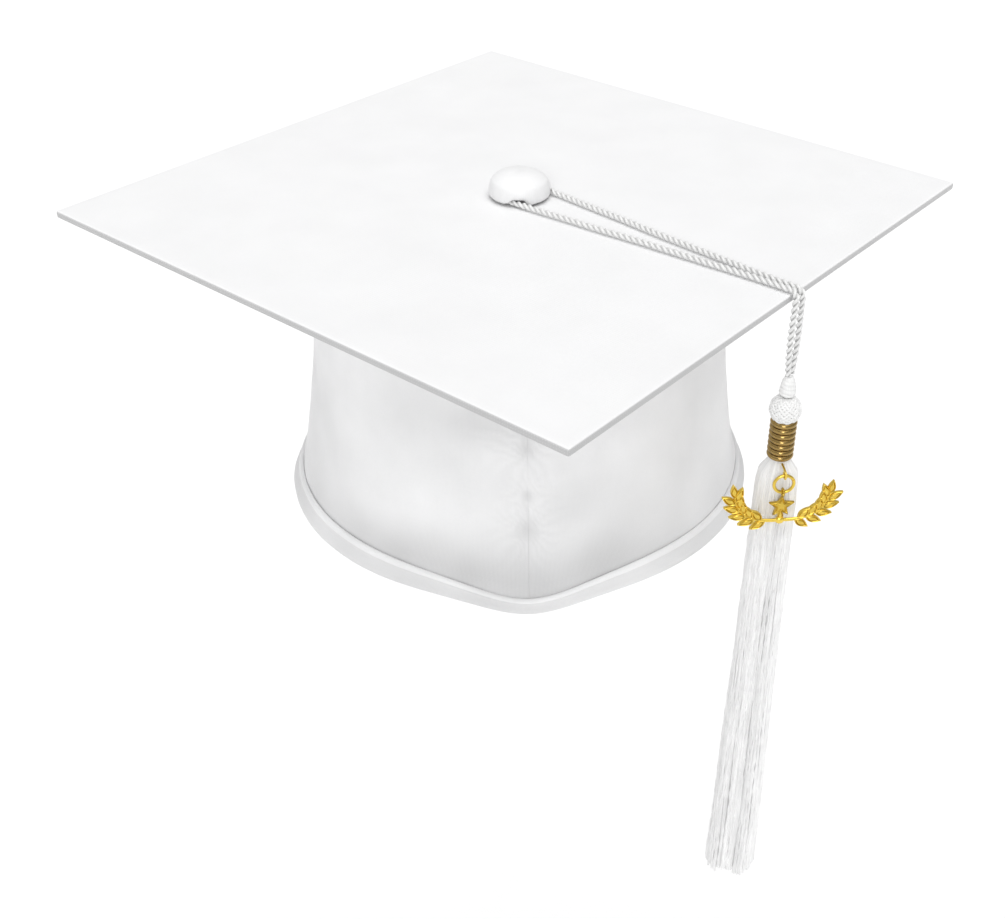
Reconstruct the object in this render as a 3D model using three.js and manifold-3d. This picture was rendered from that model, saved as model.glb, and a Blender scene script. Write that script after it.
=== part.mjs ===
// A square academic cap with its tassel, in millimetres, +Z up.
// The origin is the centre of the head opening, where the head holds the cap: the hem's edge lies at z = 0.
// The front of the cap, with its pointed hem and the board's front corner, faces -Y. The wearer's left is +X.
// The tassel hangs over the middle of the board's edge between the front corner and the wearer's left.

import * as THREE from "three";
import { mergeVertices } from "three/addons/utils/BufferGeometryUtils.js";
import Module from "manifold-3d";

// ---- Driving dimensions ----

// Board
const BOARD_SIZE = 241.3; // side of the square
const BOARD_TOP = 122; // height of the board's top face
const COVER_THICKNESS = 0.4; // cloth over the board
const CORE_THICKNESS = 2;
const LAYER_GAP = 0.1; // between flat layers of the board
const EDGE_ROUND = 0.8; // softened edge of the covered board
const FOLD_WIDTH = 14; // the top cloth's turning, glued under the board
const ROUND_WITHIN = 84; // inside this radius a plate's rings are circles
const SQUARE_BEYOND = 100; // outside this one they follow the board's square
const BOARD_SEGMENTS = 32;

// Crown
const CROWN_HEIGHT = 118.2;
const CROWN_TOP_RADIUS = 79.2;
const CROWN_SPREAD = 12.2; // how much wider the crown grows towards the hem
const HEM_FLARE = 3; // the last outward turn, just above the hem
const HEM_FLARE_HEIGHT = 6;
const FRONT_TO_BACK = 0.96; // the crown's length over its width
const FRONT_DIP = 5.1; // how far the hem's front point hangs down
const FRONT_DIP_ANGLE = 0.26;
const FRONT_KEEL = 1.5; // how far that point stands forward
const FRONT_KEEL_ANGLE = 0.18;
const CROWN_TURN = -0.045; // radians that the crown is sewn off the board's front corner
const SEAM_HALF_GAP = 0.004; // radians, between two pieces that meet in a seam
const CROWN_STEPS = 22; // steps round half the crown
const CROWN_ROWS = [-1, 3, 9, 20, 36, 60, 90, CROWN_HEIGHT]; // heights that every layer shares

// Layers of the crown: distances outward from the shell's outer face, and heights
const HEM_BAND_HEIGHT = 9;
const SHELL = { outer: 0, inner: -0.9, low: 0.9, high: CROWN_HEIGHT };
const INTERFACING = { outer: -1.2, inner: -2, low: HEM_BAND_HEIGHT, high: CROWN_HEIGHT - 1.7 };
const TAPE = { outer: -2.3, inner: -2.7, low: 36, high: CROWN_HEIGHT - 6 };
const SIZE_LABEL = { outer: -2.3, inner: -2.6, low: 38, high: 58 };
const SWEATBAND = { outer: -2.3, inner: -3.4, low: 1.5, high: 34 };
const ELASTIC = { outer: -3.7, inner: -4.5, low: 6, high: 26 };
const TAPE_HALF_ANGLE = 0.06;
const ELASTIC_HALF_ANGLE = 0.55;
const LABEL_ANGLES = [0.14, 0.42]; // from the middle of the back

// Discs across the crown's top
const TIP = { radius: CROWN_TOP_RADIUS + 0.8, hole: 9, bottom: CROWN_HEIGHT + 0.4, thickness: 0.6 };
const TIP_LINING = { radius: CROWN_TOP_RADIUS - 2.8, hole: 0.5, bottom: CROWN_HEIGHT - 1.3, thickness: 0.5 };

// Button, heights above the board's top face
const BUTTON_RADIUS = 11.75;
const BUTTON_HEIGHT = 10.6;
const BUTTON_LIFT = 3;
const SHANK_RADIUS = 1.3;
const COVER_HOLE_RADIUS = 4.2;
const CORE_HOLE_RADIUS = 2.2;

// Loop cord
const CORD_DIAMETER = 2.4;
const CORD_LIFT = 1.6; // its middle above the board's top face
const CORD_BEND_RADIUS = 2.7; // where it turns over the board's edge
const STRAND_OFFSET = 1.35; // each strand's middle from the tassel's own plane
const LOOP_RADIUS = 8.8; // round the button's shank
const CORD_SIDES = 8;
// One strand from the board's edge to the button: distance from the middle of the board towards the edge,
// then distance from the tassel's plane
const STRAND_ROUTE = [
  [112, 1.5],
  [100, 2.1],
  [86, 3.1],
  [72, 3.9],
  [58, 4.8],
  [44, 6.1],
  [30, 7],
  [17, 8],
  [7, 8.7],
];

// Tassel, heights below the board's top face
const SWING_PIVOT = -33.6; // centre of the knot's round top
const KNOT_TOP_RADIUS = 2.2;
const BEAD_CENTRE = -45.2;
const BEAD_RADIUS = 5.5;
const BEAD_COVER_HOLE = 1.9;
const BEAD_HOLE = 1.5;
const BEAD_CORD = { radius: 1.2, bottom: -51.6, top: -39.6 };
const FERRULE_TOP = -49.2;
const FERRULE_LENGTH = 16;
const FERRULE_RADIUS = 4.85;
const FERRULE_RIBS = 7;
const NECK_RADIUS = 3.3;
const SKIRT_BOTTOM = -291;
const SKIRT_RADIUS = 10.6; // just above its lower end

// Charm, in front of the skirt
const CHARM_FORWARD = 9.2; // from the tassel's axis to the charm's middle
const CHARM_HEIGHT = 19.6;
const CHARM_THICKNESS = 1.6;
const STEM_RADIUS = 0.65;
const RING_RADIUS = 3.6;
const RING_WIRE = 0.6;
const EYE_RADIUS = 1.35;
const EYE_WIRE = 0.4;
const EYE_SLACK = 0.25; // how low a ring's wire lies in an eye
const EYE_DEPTH = 4.6; // the charm's eye below its highest leaf

const HALF = BOARD_SIZE / 2;
const CORD_RADIUS = CORD_DIAMETER / 2;
const BOARD_LAYERS = {
  coreTop: BOARD_TOP - COVER_THICKNESS - LAYER_GAP,
  coreBottom: BOARD_TOP - COVER_THICKNESS - LAYER_GAP - CORE_THICKNESS,
  foldTop: BOARD_TOP - COVER_THICKNESS - 2 * LAYER_GAP - CORE_THICKNESS,
  foldBottom: BOARD_TOP - 2 * COVER_THICKNESS - 2 * LAYER_GAP - CORE_THICKNESS,
};
const HANG_DISTANCE = HALF - 0.75 + CORD_BEND_RADIUS; // from the board's middle to the hanging cord
const TOWARDS_EDGE = new THREE.Vector3(1, -1, 0).normalize();
const ALONG_EDGE = new THREE.Vector3(1, 1, 0).normalize();

// ---- Materials ----

const cloth = (color) => new THREE.MeshStandardMaterial({ color, roughness: 0.9, metalness: 0 });
const metal = (color) => new THREE.MeshStandardMaterial({ color, roughness: 0.3, metalness: 0.9 });

const WHITE_CLOTH = 0xf3f3f1;
const WHITE_CORD = 0xf0f0ec;
const INNER_CLOTH = 0xe4e2dc;
const BOARD_GREY = 0xb9b3a6;
const GOLD = 0xc9a227;
const BRONZE = 0x9a7b3a;
const STEEL = 0xc0c2c4;
const BEAD_WOOD = 0xd8bf94;

// ---- Helpers ----

const wasm = await Module();
wasm.setup();

function solid(geometry) {
  const bare = geometry.clone();
  bare.deleteAttribute("normal");
  bare.deleteAttribute("uv");
  const merged = mergeVertices(bare, 1e-4);
  const vertProperties = merged.attributes.position.array;
  const triVerts = new Uint32Array(merged.index.array);
  return new wasm.Manifold(new wasm.Mesh({ numProp: 3, vertProperties, triVerts }));
}

function joined(geometries) {
  const whole = geometries.map(solid).reduce((sum, next) => sum.add(next));
  const { vertProperties, triVerts } = whole.getMesh();
  const geometry = new THREE.BufferGeometry();
  geometry.setAttribute("position", new THREE.BufferAttribute(vertProperties, 3));
  geometry.setIndex(new THREE.BufferAttribute(triVerts, 1));
  geometry.computeVertexNormals();
  return geometry;
}

function piece(name, geometry, material) {
  const mesh = new THREE.Mesh(geometry, material);
  mesh.name = name;
  return mesh;
}

function groupOf(...meshes) {
  const group = new THREE.Group();
  group.add(...meshes);
  return group;
}

// Turns a profile of [radius, height] pairs about +Z. It runs outwards along the bottom, then up.
// A profile that doesn't start on the axis is closed on itself.
function turned(profile, segments) {
  const points = profile.map(([radius, height]) => new THREE.Vector2(radius, height));
  if (profile[0][0] > 0) points.push(points[0].clone());
  return new THREE.LatheGeometry(points, segments).rotateX(Math.PI / 2);
}

// A flat ring, or a tube where it is higher than it is wide.
function ringPlate(hole, radius, bottom, thickness, segments = 24) {
  const top = bottom + thickness;
  const profile = [
    [hole, bottom],
    [radius, bottom],
    [radius, top],
    [hole, top],
  ];
  return turned(profile, segments);
}

function eachVertex(geometry, move) {
  const position = geometry.getAttribute("position");
  const point = new THREE.Vector3();
  for (let i = 0; i < position.count; i += 1) {
    point.fromBufferAttribute(position, i);
    move(point);
    position.setXYZ(i, point.x, point.y, point.z);
  }
  geometry.computeVertexNormals();
  return geometry;
}

// A turned plate whose outer rings are squares with a corner at the front.
function squarePlate(profile) {
  return eachVertex(turned(profile, BOARD_SEGMENTS), (point) => {
    const radius = Math.hypot(point.x, point.y);
    const across = Math.abs(point.x + point.y) / Math.SQRT2;
    const along = Math.abs(point.x - point.y) / Math.SQRT2;
    const toSquare = radius / Math.max(across, along);
    const share = THREE.MathUtils.clamp((radius - ROUND_WITHIN) / (SQUARE_BEYOND - ROUND_WITHIN), 0, 1);
    const stretch = 1 + (toSquare - 1) * share;
    point.x *= stretch;
    point.y *= stretch;
  });
}

function crownRadiusAtRow(height) {
  const rise = height / CROWN_HEIGHT;
  return CROWN_TOP_RADIUS + CROWN_SPREAD * (1 - rise) ** 2 + HEM_FLARE * Math.exp(-height / HEM_FLARE_HEIGHT);
}

// Straight between the shared rows, so that the layers stay parallel.
function crownRadius(height) {
  const above = CROWN_ROWS.findIndex((row) => row >= height);
  const upper = Math.max(above, 1);
  const [low, high] = [CROWN_ROWS[upper - 1], CROWN_ROWS[upper]];
  const share = (height - low) / (high - low);
  return THREE.MathUtils.lerp(crownRadiusAtRow(low), crownRadiusAtRow(high), share);
}

// A point of the crown: angle from its front seam towards the wearer's left, height above the hem,
// and distance from the crown's axis at its sides.
function crownPoint(angle, height, radius) {
  const fall = 1 - height / CROWN_HEIGHT;
  const aroundFront = Math.atan2(Math.sin(angle), Math.cos(angle));
  const dip = FRONT_DIP * Math.exp(-((aroundFront / FRONT_DIP_ANGLE) ** 2)) * fall;
  const keel = FRONT_KEEL * Math.exp(-((aroundFront / FRONT_KEEL_ANGLE) ** 2)) * fall;
  const reach = radius + keel;
  return new THREE.Vector3(
    reach * Math.sin(angle + CROWN_TURN),
    -reach * Math.cos(angle + CROWN_TURN) * FRONT_TO_BACK,
    height - dip,
  );
}

// Runs a cross-section round the crown between two angles. Its points are pairs of distance outward
// from the shell's outer face and height.
function roundCrown(section, [from, to], steps) {
  const outline = section.map(
    ([outward, height]) => new THREE.Vector2(crownRadius(height) + outward, height),
  );
  const settings = { depth: 1, steps, bevelEnabled: false };
  return eachVertex(new THREE.ExtrudeGeometry(new THREE.Shape(outline), settings), (point) => {
    const angle = THREE.MathUtils.lerp(to, from, point.z);
    point.copy(crownPoint(angle, point.y, point.x));
  });
}

// The cross-section of a layer that follows the crown's curve.
function wall({ outer, inner, low, high }) {
  const heights = [low, ...CROWN_ROWS.filter((row) => row > low && row < high), high];
  const outside = heights.map((height) => [outer, height]);
  const inside = heights.map((height) => [inner, height]).reverse();
  return [...outside, ...inside];
}

function cordAlong(points) {
  const corners = Array.from({ length: CORD_SIDES }, (_, side) => {
    const angle = (side / CORD_SIDES) * 2 * Math.PI;
    return new THREE.Vector2(CORD_RADIUS * Math.cos(angle), CORD_RADIUS * Math.sin(angle));
  });
  const extrudePath = new THREE.CatmullRomCurve3(points);
  const steps = Math.ceil(extrudePath.getLength() / (2.5 * CORD_DIAMETER)) + 2;
  return new THREE.ExtrudeGeometry(new THREE.Shape(corners), { extrudePath, steps, bevelEnabled: false });
}

// A point over the board, given from its middle towards the tassel's edge, along that edge, and by height.
function boardPoint(towards, along, height) {
  return new THREE.Vector3(0, 0, height)
    .addScaledVector(TOWARDS_EDGE, towards)
    .addScaledVector(ALONG_EDGE, along);
}

// ---- Board ----

function boardTopCover() {
  const outer = HALF;
  const inner = HALF - COVER_THICKNESS;
  const bend = EDGE_ROUND - COVER_THICKNESS * 0.6;
  const under = BOARD_TOP - COVER_THICKNESS;
  const { foldTop, foldBottom } = BOARD_LAYERS;
  return squarePlate([
    [outer - FOLD_WIDTH, foldBottom],
    [outer - EDGE_ROUND, foldBottom],
    [outer, foldBottom + EDGE_ROUND],
    [outer, BOARD_TOP - EDGE_ROUND],
    [outer - EDGE_ROUND, BOARD_TOP],
    [SQUARE_BEYOND, BOARD_TOP],
    [HALF / 3, BOARD_TOP],
    [COVER_HOLE_RADIUS, BOARD_TOP],
    [COVER_HOLE_RADIUS, under],
    [SQUARE_BEYOND, under],
    [inner - bend, under],
    [inner, under - bend],
    [inner, foldTop + bend],
    [inner - bend, foldTop],
    [outer - FOLD_WIDTH, foldTop],
  ]);
}

function boardCore() {
  const half = HALF - COVER_THICKNESS - 1.5 * LAYER_GAP;
  const { coreTop, coreBottom } = BOARD_LAYERS;
  const bend = EDGE_ROUND / 2 + LAYER_GAP;
  return squarePlate([
    [CORE_HOLE_RADIUS, coreBottom],
    [SQUARE_BEYOND, coreBottom],
    [half - bend, coreBottom],
    [half, coreBottom + bend],
    [half, coreTop - bend],
    [half - bend, coreTop],
    [SQUARE_BEYOND, coreTop],
    [CORE_HOLE_RADIUS, coreTop],
  ]);
}

function boardUndersideCover() {
  const opening = CROWN_TOP_RADIUS + 2.8;
  const border = HALF - 2.5;
  const top = BOARD_LAYERS.foldBottom - LAYER_GAP;
  const bottom = top - COVER_THICKNESS;
  return squarePlate([
    [opening, bottom],
    [SQUARE_BEYOND, bottom],
    [border, bottom],
    [border, top],
    [SQUARE_BEYOND, top],
    [opening, top],
  ]);
}

function makeBoard() {
  return groupOf(
    piece("board_core", boardCore(), cloth(BOARD_GREY)),
    piece("board_top_cover", boardTopCover(), cloth(WHITE_CLOTH)),
    piece("board_underside_cover", boardUndersideCover(), cloth(WHITE_CLOTH)),
  );
}

// ---- Crown ----

const FRONT = 0;
const BACK = Math.PI;
const LEFT_HALF = [FRONT + SEAM_HALF_GAP, BACK - SEAM_HALF_GAP];
const RIGHT_HALF = [BACK + SEAM_HALF_GAP, 2 * Math.PI - SEAM_HALF_GAP];
const WHOLE_ROUND = [-BACK + SEAM_HALF_GAP, BACK - SEAM_HALF_GAP];
const HALF_STEPS = CROWN_STEPS;
const WHOLE_STEPS = 2 * CROWN_STEPS;

function anglesAbout(middle, halfAngle) {
  return [middle - halfAngle, middle + halfAngle];
}

// The band is folded over the shell's lower edge, with one leg outside and one inside.
function hemBandSection() {
  const outerLeg = 1.5;
  const innerLeg = -2.1;
  const innerLegTop = 8;
  return [
    [0.3, HEM_BAND_HEIGHT],
    [0.3, 3],
    [0.3, 0.6],
    [-1.2, 0.6],
    [-1.2, 3],
    [-1.2, innerLegTop],
    [innerLeg, innerLegTop],
    [innerLeg, 3],
    [innerLeg, 0.2],
    [innerLeg + 0.6, -0.4],
    [outerLeg - 0.5, -0.4],
    [outerLeg + 0.2, 0.2],
    [outerLeg + 0.2, 3],
    [outerLeg, HEM_BAND_HEIGHT],
  ];
}

function crownDisc({ radius, hole, bottom, thickness }) {
  return ringPlate(hole, radius, bottom, thickness, WHOLE_STEPS).scale(1, FRONT_TO_BACK, 1);
}

function makeCrown() {
  const strip = (name, section, angles, steps, color) =>
    piece(name, roundCrown(section, angles, steps), cloth(color));
  const labelAngles = LABEL_ANGLES.map((angle) => BACK - angle).reverse();
  const elasticAngles = anglesAbout(BACK, ELASTIC_HALF_ANGLE);
  return groupOf(
    strip("crown_left_panel", wall(SHELL), LEFT_HALF, HALF_STEPS, WHITE_CLOTH),
    strip("crown_right_panel", wall(SHELL), RIGHT_HALF, HALF_STEPS, WHITE_CLOTH),
    strip("interfacing_left", wall(INTERFACING), LEFT_HALF, HALF_STEPS, INNER_CLOTH),
    strip("interfacing_right", wall(INTERFACING), RIGHT_HALF, HALF_STEPS, INNER_CLOTH),
    strip("front_seam_tape", wall(TAPE), anglesAbout(FRONT, TAPE_HALF_ANGLE), 2, INNER_CLOTH),
    strip("back_seam_tape", wall(TAPE), anglesAbout(BACK, TAPE_HALF_ANGLE), 2, INNER_CLOTH),
    strip("hem_band", hemBandSection(), WHOLE_ROUND, WHOLE_STEPS, WHITE_CLOTH),
    strip("sweatband", wall(SWEATBAND), WHOLE_ROUND, WHOLE_STEPS, INNER_CLOTH),
    strip("back_elastic", wall(ELASTIC), elasticAngles, 8, WHITE_CLOTH),
    strip("size_label", wall(SIZE_LABEL), labelAngles, 2, WHITE_CLOTH),
    piece("crown_tip", crownDisc(TIP), cloth(INNER_CLOTH)),
    piece("crown_tip_lining", crownDisc(TIP_LINING), cloth(INNER_CLOTH)),
  );
}

// ---- Button ----

// A dome's profile from its rim to the axis.
function domeLine(radius, height, rim) {
  const steps = 6;
  return Array.from({ length: steps + 1 }, (_, i) => {
    const angle = (i / steps) * (Math.PI / 2);
    return [i < steps ? radius * Math.cos(angle) : 0, rim + height * Math.sin(angle)];
  });
}

function buttonCover() {
  const rim = BOARD_TOP + BUTTON_LIFT + 0.5;
  const top = BUTTON_HEIGHT - BUTTON_LIFT - 0.5;
  const turning = BOARD_TOP + BUTTON_LIFT;
  return turned(
    [
      ...domeLine(BUTTON_RADIUS - 0.5, top - 0.5, rim).reverse(),
      [BUTTON_RADIUS - 0.5, turning + 0.3],
      [BUTTON_RADIUS - 1.7, turning + 0.3],
      [BUTTON_RADIUS - 1.7, turning],
      [BUTTON_RADIUS - 0.3, turning],
      ...domeLine(BUTTON_RADIUS, top, rim),
    ],
    24,
  );
}

function buttonShell() {
  const rim = BOARD_TOP + BUTTON_LIFT + 0.6;
  const radius = BUTTON_RADIUS - 0.75;
  const height = BUTTON_HEIGHT - BUTTON_LIFT - 1.3;
  const inside = domeLine(radius - 0.6, height - 0.6, rim).reverse();
  return turned([...inside, ...domeLine(radius, height, rim)], 24);
}

// A flat-headed shank whose two legs are spread under the washer.
function buttonProng() {
  const headBottom = BOARD_TOP + BUTTON_LIFT + 0.8;
  const legsTop = CROWN_HEIGHT + 0.3;
  const shank = turned(
    [
      [0, legsTop - 0.4],
      [SHANK_RADIUS, legsTop - 0.4],
      [SHANK_RADIUS, headBottom],
      [3, headBottom],
      [3, headBottom + 0.5],
      [0, headBottom + 0.5],
    ],
    12,
  );
  const legs = new THREE.BoxGeometry(14, 2.2, 0.5).translate(0, 0, legsTop - 0.25);
  return joined([shank, legs]);
}

function makeButton() {
  const backBottom = BOARD_TOP + BUTTON_LIFT;
  return groupOf(
    piece("button_cover", buttonCover(), cloth(WHITE_CLOTH)),
    piece("button_shell", buttonShell(), metal(STEEL)),
    piece("button_back", ringPlate(SHANK_RADIUS + 0.4, 9.6, backBottom, 0.5), metal(STEEL)),
    piece("button_prong", buttonProng(), metal(STEEL)),
    piece("prong_washer", ringPlate(SHANK_RADIUS + 0.4, 8, CROWN_HEIGHT + 0.6, 0.5), metal(STEEL)),
  );
}

// ---- Loop cord ----

// Both strands lie on the board, and the cord goes round the button's shank between them.
function cordLoopRoute() {
  const height = BOARD_TOP + CORD_LIFT;
  const start = HALF - 0.75;
  const strand = [[start, STRAND_OFFSET], ...STRAND_ROUTE];
  const turnAngles = [90, 120, 150, 180, 210, 240, 270];
  const turn = turnAngles.map((degrees) => {
    const angle = THREE.MathUtils.degToRad(degrees);
    return [LOOP_RADIUS * Math.cos(angle), LOOP_RADIUS * Math.sin(angle)];
  });
  const back = strand.map(([towards, along]) => [towards, -along]).reverse();
  return [...strand, ...turn, ...back].map(([towards, along]) => boardPoint(towards, along, height));
}

// The quarter turn over the board's edge, short of the straight pieces that it meets.
function cordBend(along) {
  const middle = HALF - 0.75;
  const height = BOARD_TOP + CORD_LIFT - CORD_BEND_RADIUS;
  const degrees = [83, 60, 45, 30, 7];
  return cordAlong(
    degrees.map((degree) => {
      const angle = THREE.MathUtils.degToRad(degree);
      const towards = middle + CORD_BEND_RADIUS * Math.cos(angle);
      return boardPoint(towards, along, height + CORD_BEND_RADIUS * Math.sin(angle));
    }),
  );
}

function cordHanging(along) {
  const top = BOARD_TOP + CORD_LIFT - CORD_BEND_RADIUS;
  const bottom = BOARD_TOP + SWING_PIVOT + KNOT_TOP_RADIUS + 0.3;
  const middle = (top + bottom) / 2;
  return cordAlong([top, middle, bottom].map((height) => boardPoint(HANG_DISTANCE, along, height)));
}

function makeCord() {
  return groupOf(
    piece("cord_loop", cordAlong(cordLoopRoute()), cloth(WHITE_CORD)),
    piece("cord_bend_front", cordBend(-STRAND_OFFSET), cloth(WHITE_CORD)),
    piece("cord_bend_back", cordBend(STRAND_OFFSET), cloth(WHITE_CORD)),
    piece("cord_hanging_front", cordHanging(-STRAND_OFFSET), cloth(WHITE_CORD)),
    piece("cord_hanging_back", cordHanging(STRAND_OFFSET), cloth(WHITE_CORD)),
  );
}

// ---- Tassel ----

// The knot's top is part of a ball about the pivot, so that it can swing under the strands.
function tasselKnot() {
  const cap = [60, 30, 0].map((degree) => {
    const angle = THREE.MathUtils.degToRad(90 - degree);
    return [KNOT_TOP_RADIUS * Math.sin(angle), SWING_PIVOT + KNOT_TOP_RADIUS * Math.cos(angle)];
  });
  return turned(
    [
      [0, SWING_PIVOT - 5.7],
      [2.5, SWING_PIVOT - 5.7],
      [3, SWING_PIVOT - 4],
      [2.7, SWING_PIVOT - 2],
      ...cap.reverse(),
      [0, SWING_PIVOT + KNOT_TOP_RADIUS],
    ],
    12,
  );
}

function ballLine(radius, holeRadius) {
  const open = Math.asin(holeRadius / radius);
  const steps = 8;
  return Array.from({ length: steps + 1 }, (_, i) => {
    const angle = open + (i / steps) * (Math.PI - 2 * open);
    return [radius * Math.sin(angle), BEAD_CENTRE - radius * Math.cos(angle)];
  });
}

// A sleeve with raised ribs.
function ferrule() {
  const bottom = FERRULE_TOP - FERRULE_LENGTH;
  const pitch = FERRULE_LENGTH / FERRULE_RIBS;
  const groove = FERRULE_RADIUS - 0.4;
  const inner = FERRULE_RADIUS - 0.75;
  const outside = Array.from({ length: FERRULE_RIBS }, (_, rib) => {
    const base = bottom + rib * pitch;
    return [
      [groove, base + 0.1 * pitch],
      [FERRULE_RADIUS, base + 0.35 * pitch],
      [FERRULE_RADIUS, base + 0.65 * pitch],
      [groove, base + 0.9 * pitch],
    ];
  }).flat();
  const foot = [[inner, bottom], [groove, bottom]];
  const head = [[groove, FERRULE_TOP], [inner, FERRULE_TOP]];
  return turned([...foot, ...outside, ...head], 20);
}

function tasselSkirt() {
  const ferruleBottom = FERRULE_TOP - FERRULE_LENGTH;
  return turned(
    [
      [0, SKIRT_BOTTOM],
      [SKIRT_RADIUS - 0.6, SKIRT_BOTTOM],
      [SKIRT_RADIUS, SKIRT_BOTTOM + 8],
      [9, -190],
      [7.6, -110],
      [7, ferruleBottom - 12],
      [6.4, ferruleBottom - 5],
      [NECK_RADIUS + 0.6, ferruleBottom - 1.2],
      [NECK_RADIUS, ferruleBottom],
      [NECK_RADIUS, FERRULE_TOP - 3],
      [0, FERRULE_TOP - 3],
    ],
    20,
  );
}

function eye() {
  return new THREE.TorusGeometry(EYE_RADIUS, EYE_WIRE, 8, 14).rotateY(Math.PI / 2);
}

// ---- Charm: two laurel branches with a star between them ----

const RING_TOP = FERRULE_TOP - FERRULE_LENGTH - 2.2 - EYE_SLACK;
const RING_CENTRE = RING_TOP - RING_RADIUS;
const CHARM_EYE = RING_CENTRE - RING_RADIUS - EYE_SLACK;
const CHARM_TOP = CHARM_EYE + EYE_DEPTH;

// A shape drawn in X and Y, stood up facing -Y at the charm's place.
function standing(shape, thickness) {
  return new THREE.ExtrudeGeometry(shape, { depth: thickness, bevelEnabled: false, curveSegments: 4 })
    .translate(0, 0, -thickness / 2)
    .rotateX(Math.PI / 2);
}

function leaf(base, angle, length, width) {
  const shape = new THREE.Shape();
  shape.moveTo(0, 0);
  shape.quadraticCurveTo(length * 0.45, -width, length, 0);
  shape.quadraticCurveTo(length * 0.45, width, 0, 0);
  return standing(shape, CHARM_THICKNESS).rotateY(-angle).translate(base.x, 0, base.y);
}

function laurelBranch(side) {
  const foot = new THREE.Vector2(side * 0.3, -CHARM_HEIGHT + 2.6);
  const bend = new THREE.Vector2(side * 15.5, -CHARM_HEIGHT + 1.4);
  const tip = new THREE.Vector2(side * 17.6, -5.4);
  const stem = new THREE.QuadraticBezierCurve(foot, bend, tip);
  const along = stem.getPoints(8).map((point) => new THREE.Vector3(point.x, 0, point.y));
  const round = new THREE.Shape().absarc(0, 0, STEM_RADIUS, 0, 2 * Math.PI);
  const pieces = [
    new THREE.ExtrudeGeometry(round, {
      extrudePath: new THREE.CatmullRomCurve3(along),
      steps: 8,
      curveSegments: 4,
      bevelEnabled: false,
    }),
  ];
  const leafAngle = 0.66;
  const stagger = 0.05; // a leaf's partner sits a little further along the stem
  for (const share of [0.22, 0.4, 0.58, 0.76, 0.92]) {
    for (const turn of [-1, 1]) {
      const at = share + (turn * side > 0 ? stagger : 0);
      const heading = stem.getTangentAt(at).angle();
      pieces.push(leaf(stem.getPointAt(at), heading + turn * leafAngle, 6.4, 2.5));
    }
  }
  pieces.push(leaf(stem.getPointAt(0.985), stem.getTangentAt(1).angle(), 6, 2.4));
  return pieces;
}

function star(centre, radius) {
  const points = Array.from({ length: 10 }, (_, i) => {
    const reach = i % 2 ? radius * 0.45 : radius;
    const angle = Math.PI / 2 + (i * Math.PI) / 5;
    return new THREE.Vector2(reach * Math.cos(angle), reach * Math.sin(angle));
  });
  return standing(new THREE.Shape(points), CHARM_THICKNESS).translate(0, 0, centre);
}

function charm() {
  const knot = new THREE.SphereGeometry(1.7, 10, 8).scale(1, 0.7, 1).translate(0, 0, -CHARM_HEIGHT + 2.6);
  const starRadius = 4.9;
  const starCentre = -EYE_DEPTH - EYE_RADIUS - starRadius + 0.3;
  const parts = [
    ...laurelBranch(-1),
    ...laurelBranch(1),
    star(starCentre, starRadius),
    knot,
    leaf(new THREE.Vector2(0, -CHARM_HEIGHT + 2), Math.PI / 2, 6, 2),
    eye().translate(0, 0, -EYE_DEPTH),
  ];
  return joined(parts).translate(0, -CHARM_FORWARD, CHARM_TOP);
}

// A lug under the ferrule's front that carries the eye for the ring.
function charmLink() {
  const top = FERRULE_TOP - FERRULE_LENGTH - 0.3;
  const lug = new THREE.BoxGeometry(1.2, CHARM_FORWARD - 4.4, 0.8);
  lug.translate(0, -(CHARM_FORWARD + 4.4) / 2, top - 0.4);
  return joined([lug, eye().translate(0, -CHARM_FORWARD, RING_TOP + EYE_SLACK)]);
}

function charmRing() {
  return new THREE.TorusGeometry(RING_RADIUS, RING_WIRE, 8, 28)
    .rotateX(Math.PI / 2)
    .translate(0, -CHARM_FORWARD, RING_CENTRE);
}

function beadCover() {
  const outside = ballLine(BEAD_RADIUS, BEAD_COVER_HOLE);
  const inside = ballLine(BEAD_RADIUS - 0.6, BEAD_COVER_HOLE).reverse();
  return turned([...outside, ...inside], 16);
}

function beadCord() {
  const { radius, bottom, top } = BEAD_CORD;
  return turned([[0, bottom], [radius, bottom], [radius, top], [0, top]], 8);
}

// The thread that binds the strands together inside the ferrule.
function neckBinding() {
  const bottom = FERRULE_TOP - FERRULE_LENGTH + 2;
  const top = FERRULE_TOP - 4;
  return ringPlate(NECK_RADIUS + 0.2, NECK_RADIUS + 0.55, bottom, top - bottom);
}

function makeTassel() {
  const tassel = groupOf(
    piece("tassel_knot", tasselKnot(), cloth(WHITE_CORD)),
    piece("tassel_bead", turned(ballLine(BEAD_RADIUS - 0.8, BEAD_HOLE), 16), cloth(BEAD_WOOD)),
    piece("tassel_bead_cover", beadCover(), cloth(WHITE_CORD)),
    piece("bead_cord", beadCord(), cloth(WHITE_CORD)),
    piece("ferrule", ferrule(), metal(BRONZE)),
    piece("neck_binding", neckBinding(), cloth(WHITE_CORD)),
    piece("tassel_skirt", tasselSkirt(), cloth(WHITE_CORD)),
    piece("charm_link", charmLink(), metal(GOLD)),
    piece("charm_ring", charmRing(), metal(GOLD)),
    piece("charm", charm(), metal(GOLD)),
  );
  tassel.position.copy(boardPoint(HANG_DISTANCE, 0, BOARD_TOP));
  return tassel;
}

// ---- Whole cap ----

const cap = new THREE.Group();
cap.add(makeBoard(), makeCrown(), makeButton(), makeCord(), makeTassel());

export default cap;
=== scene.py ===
import math

import bpy
import numpy as np
from mathutils import Matrix, Vector, noise


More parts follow.
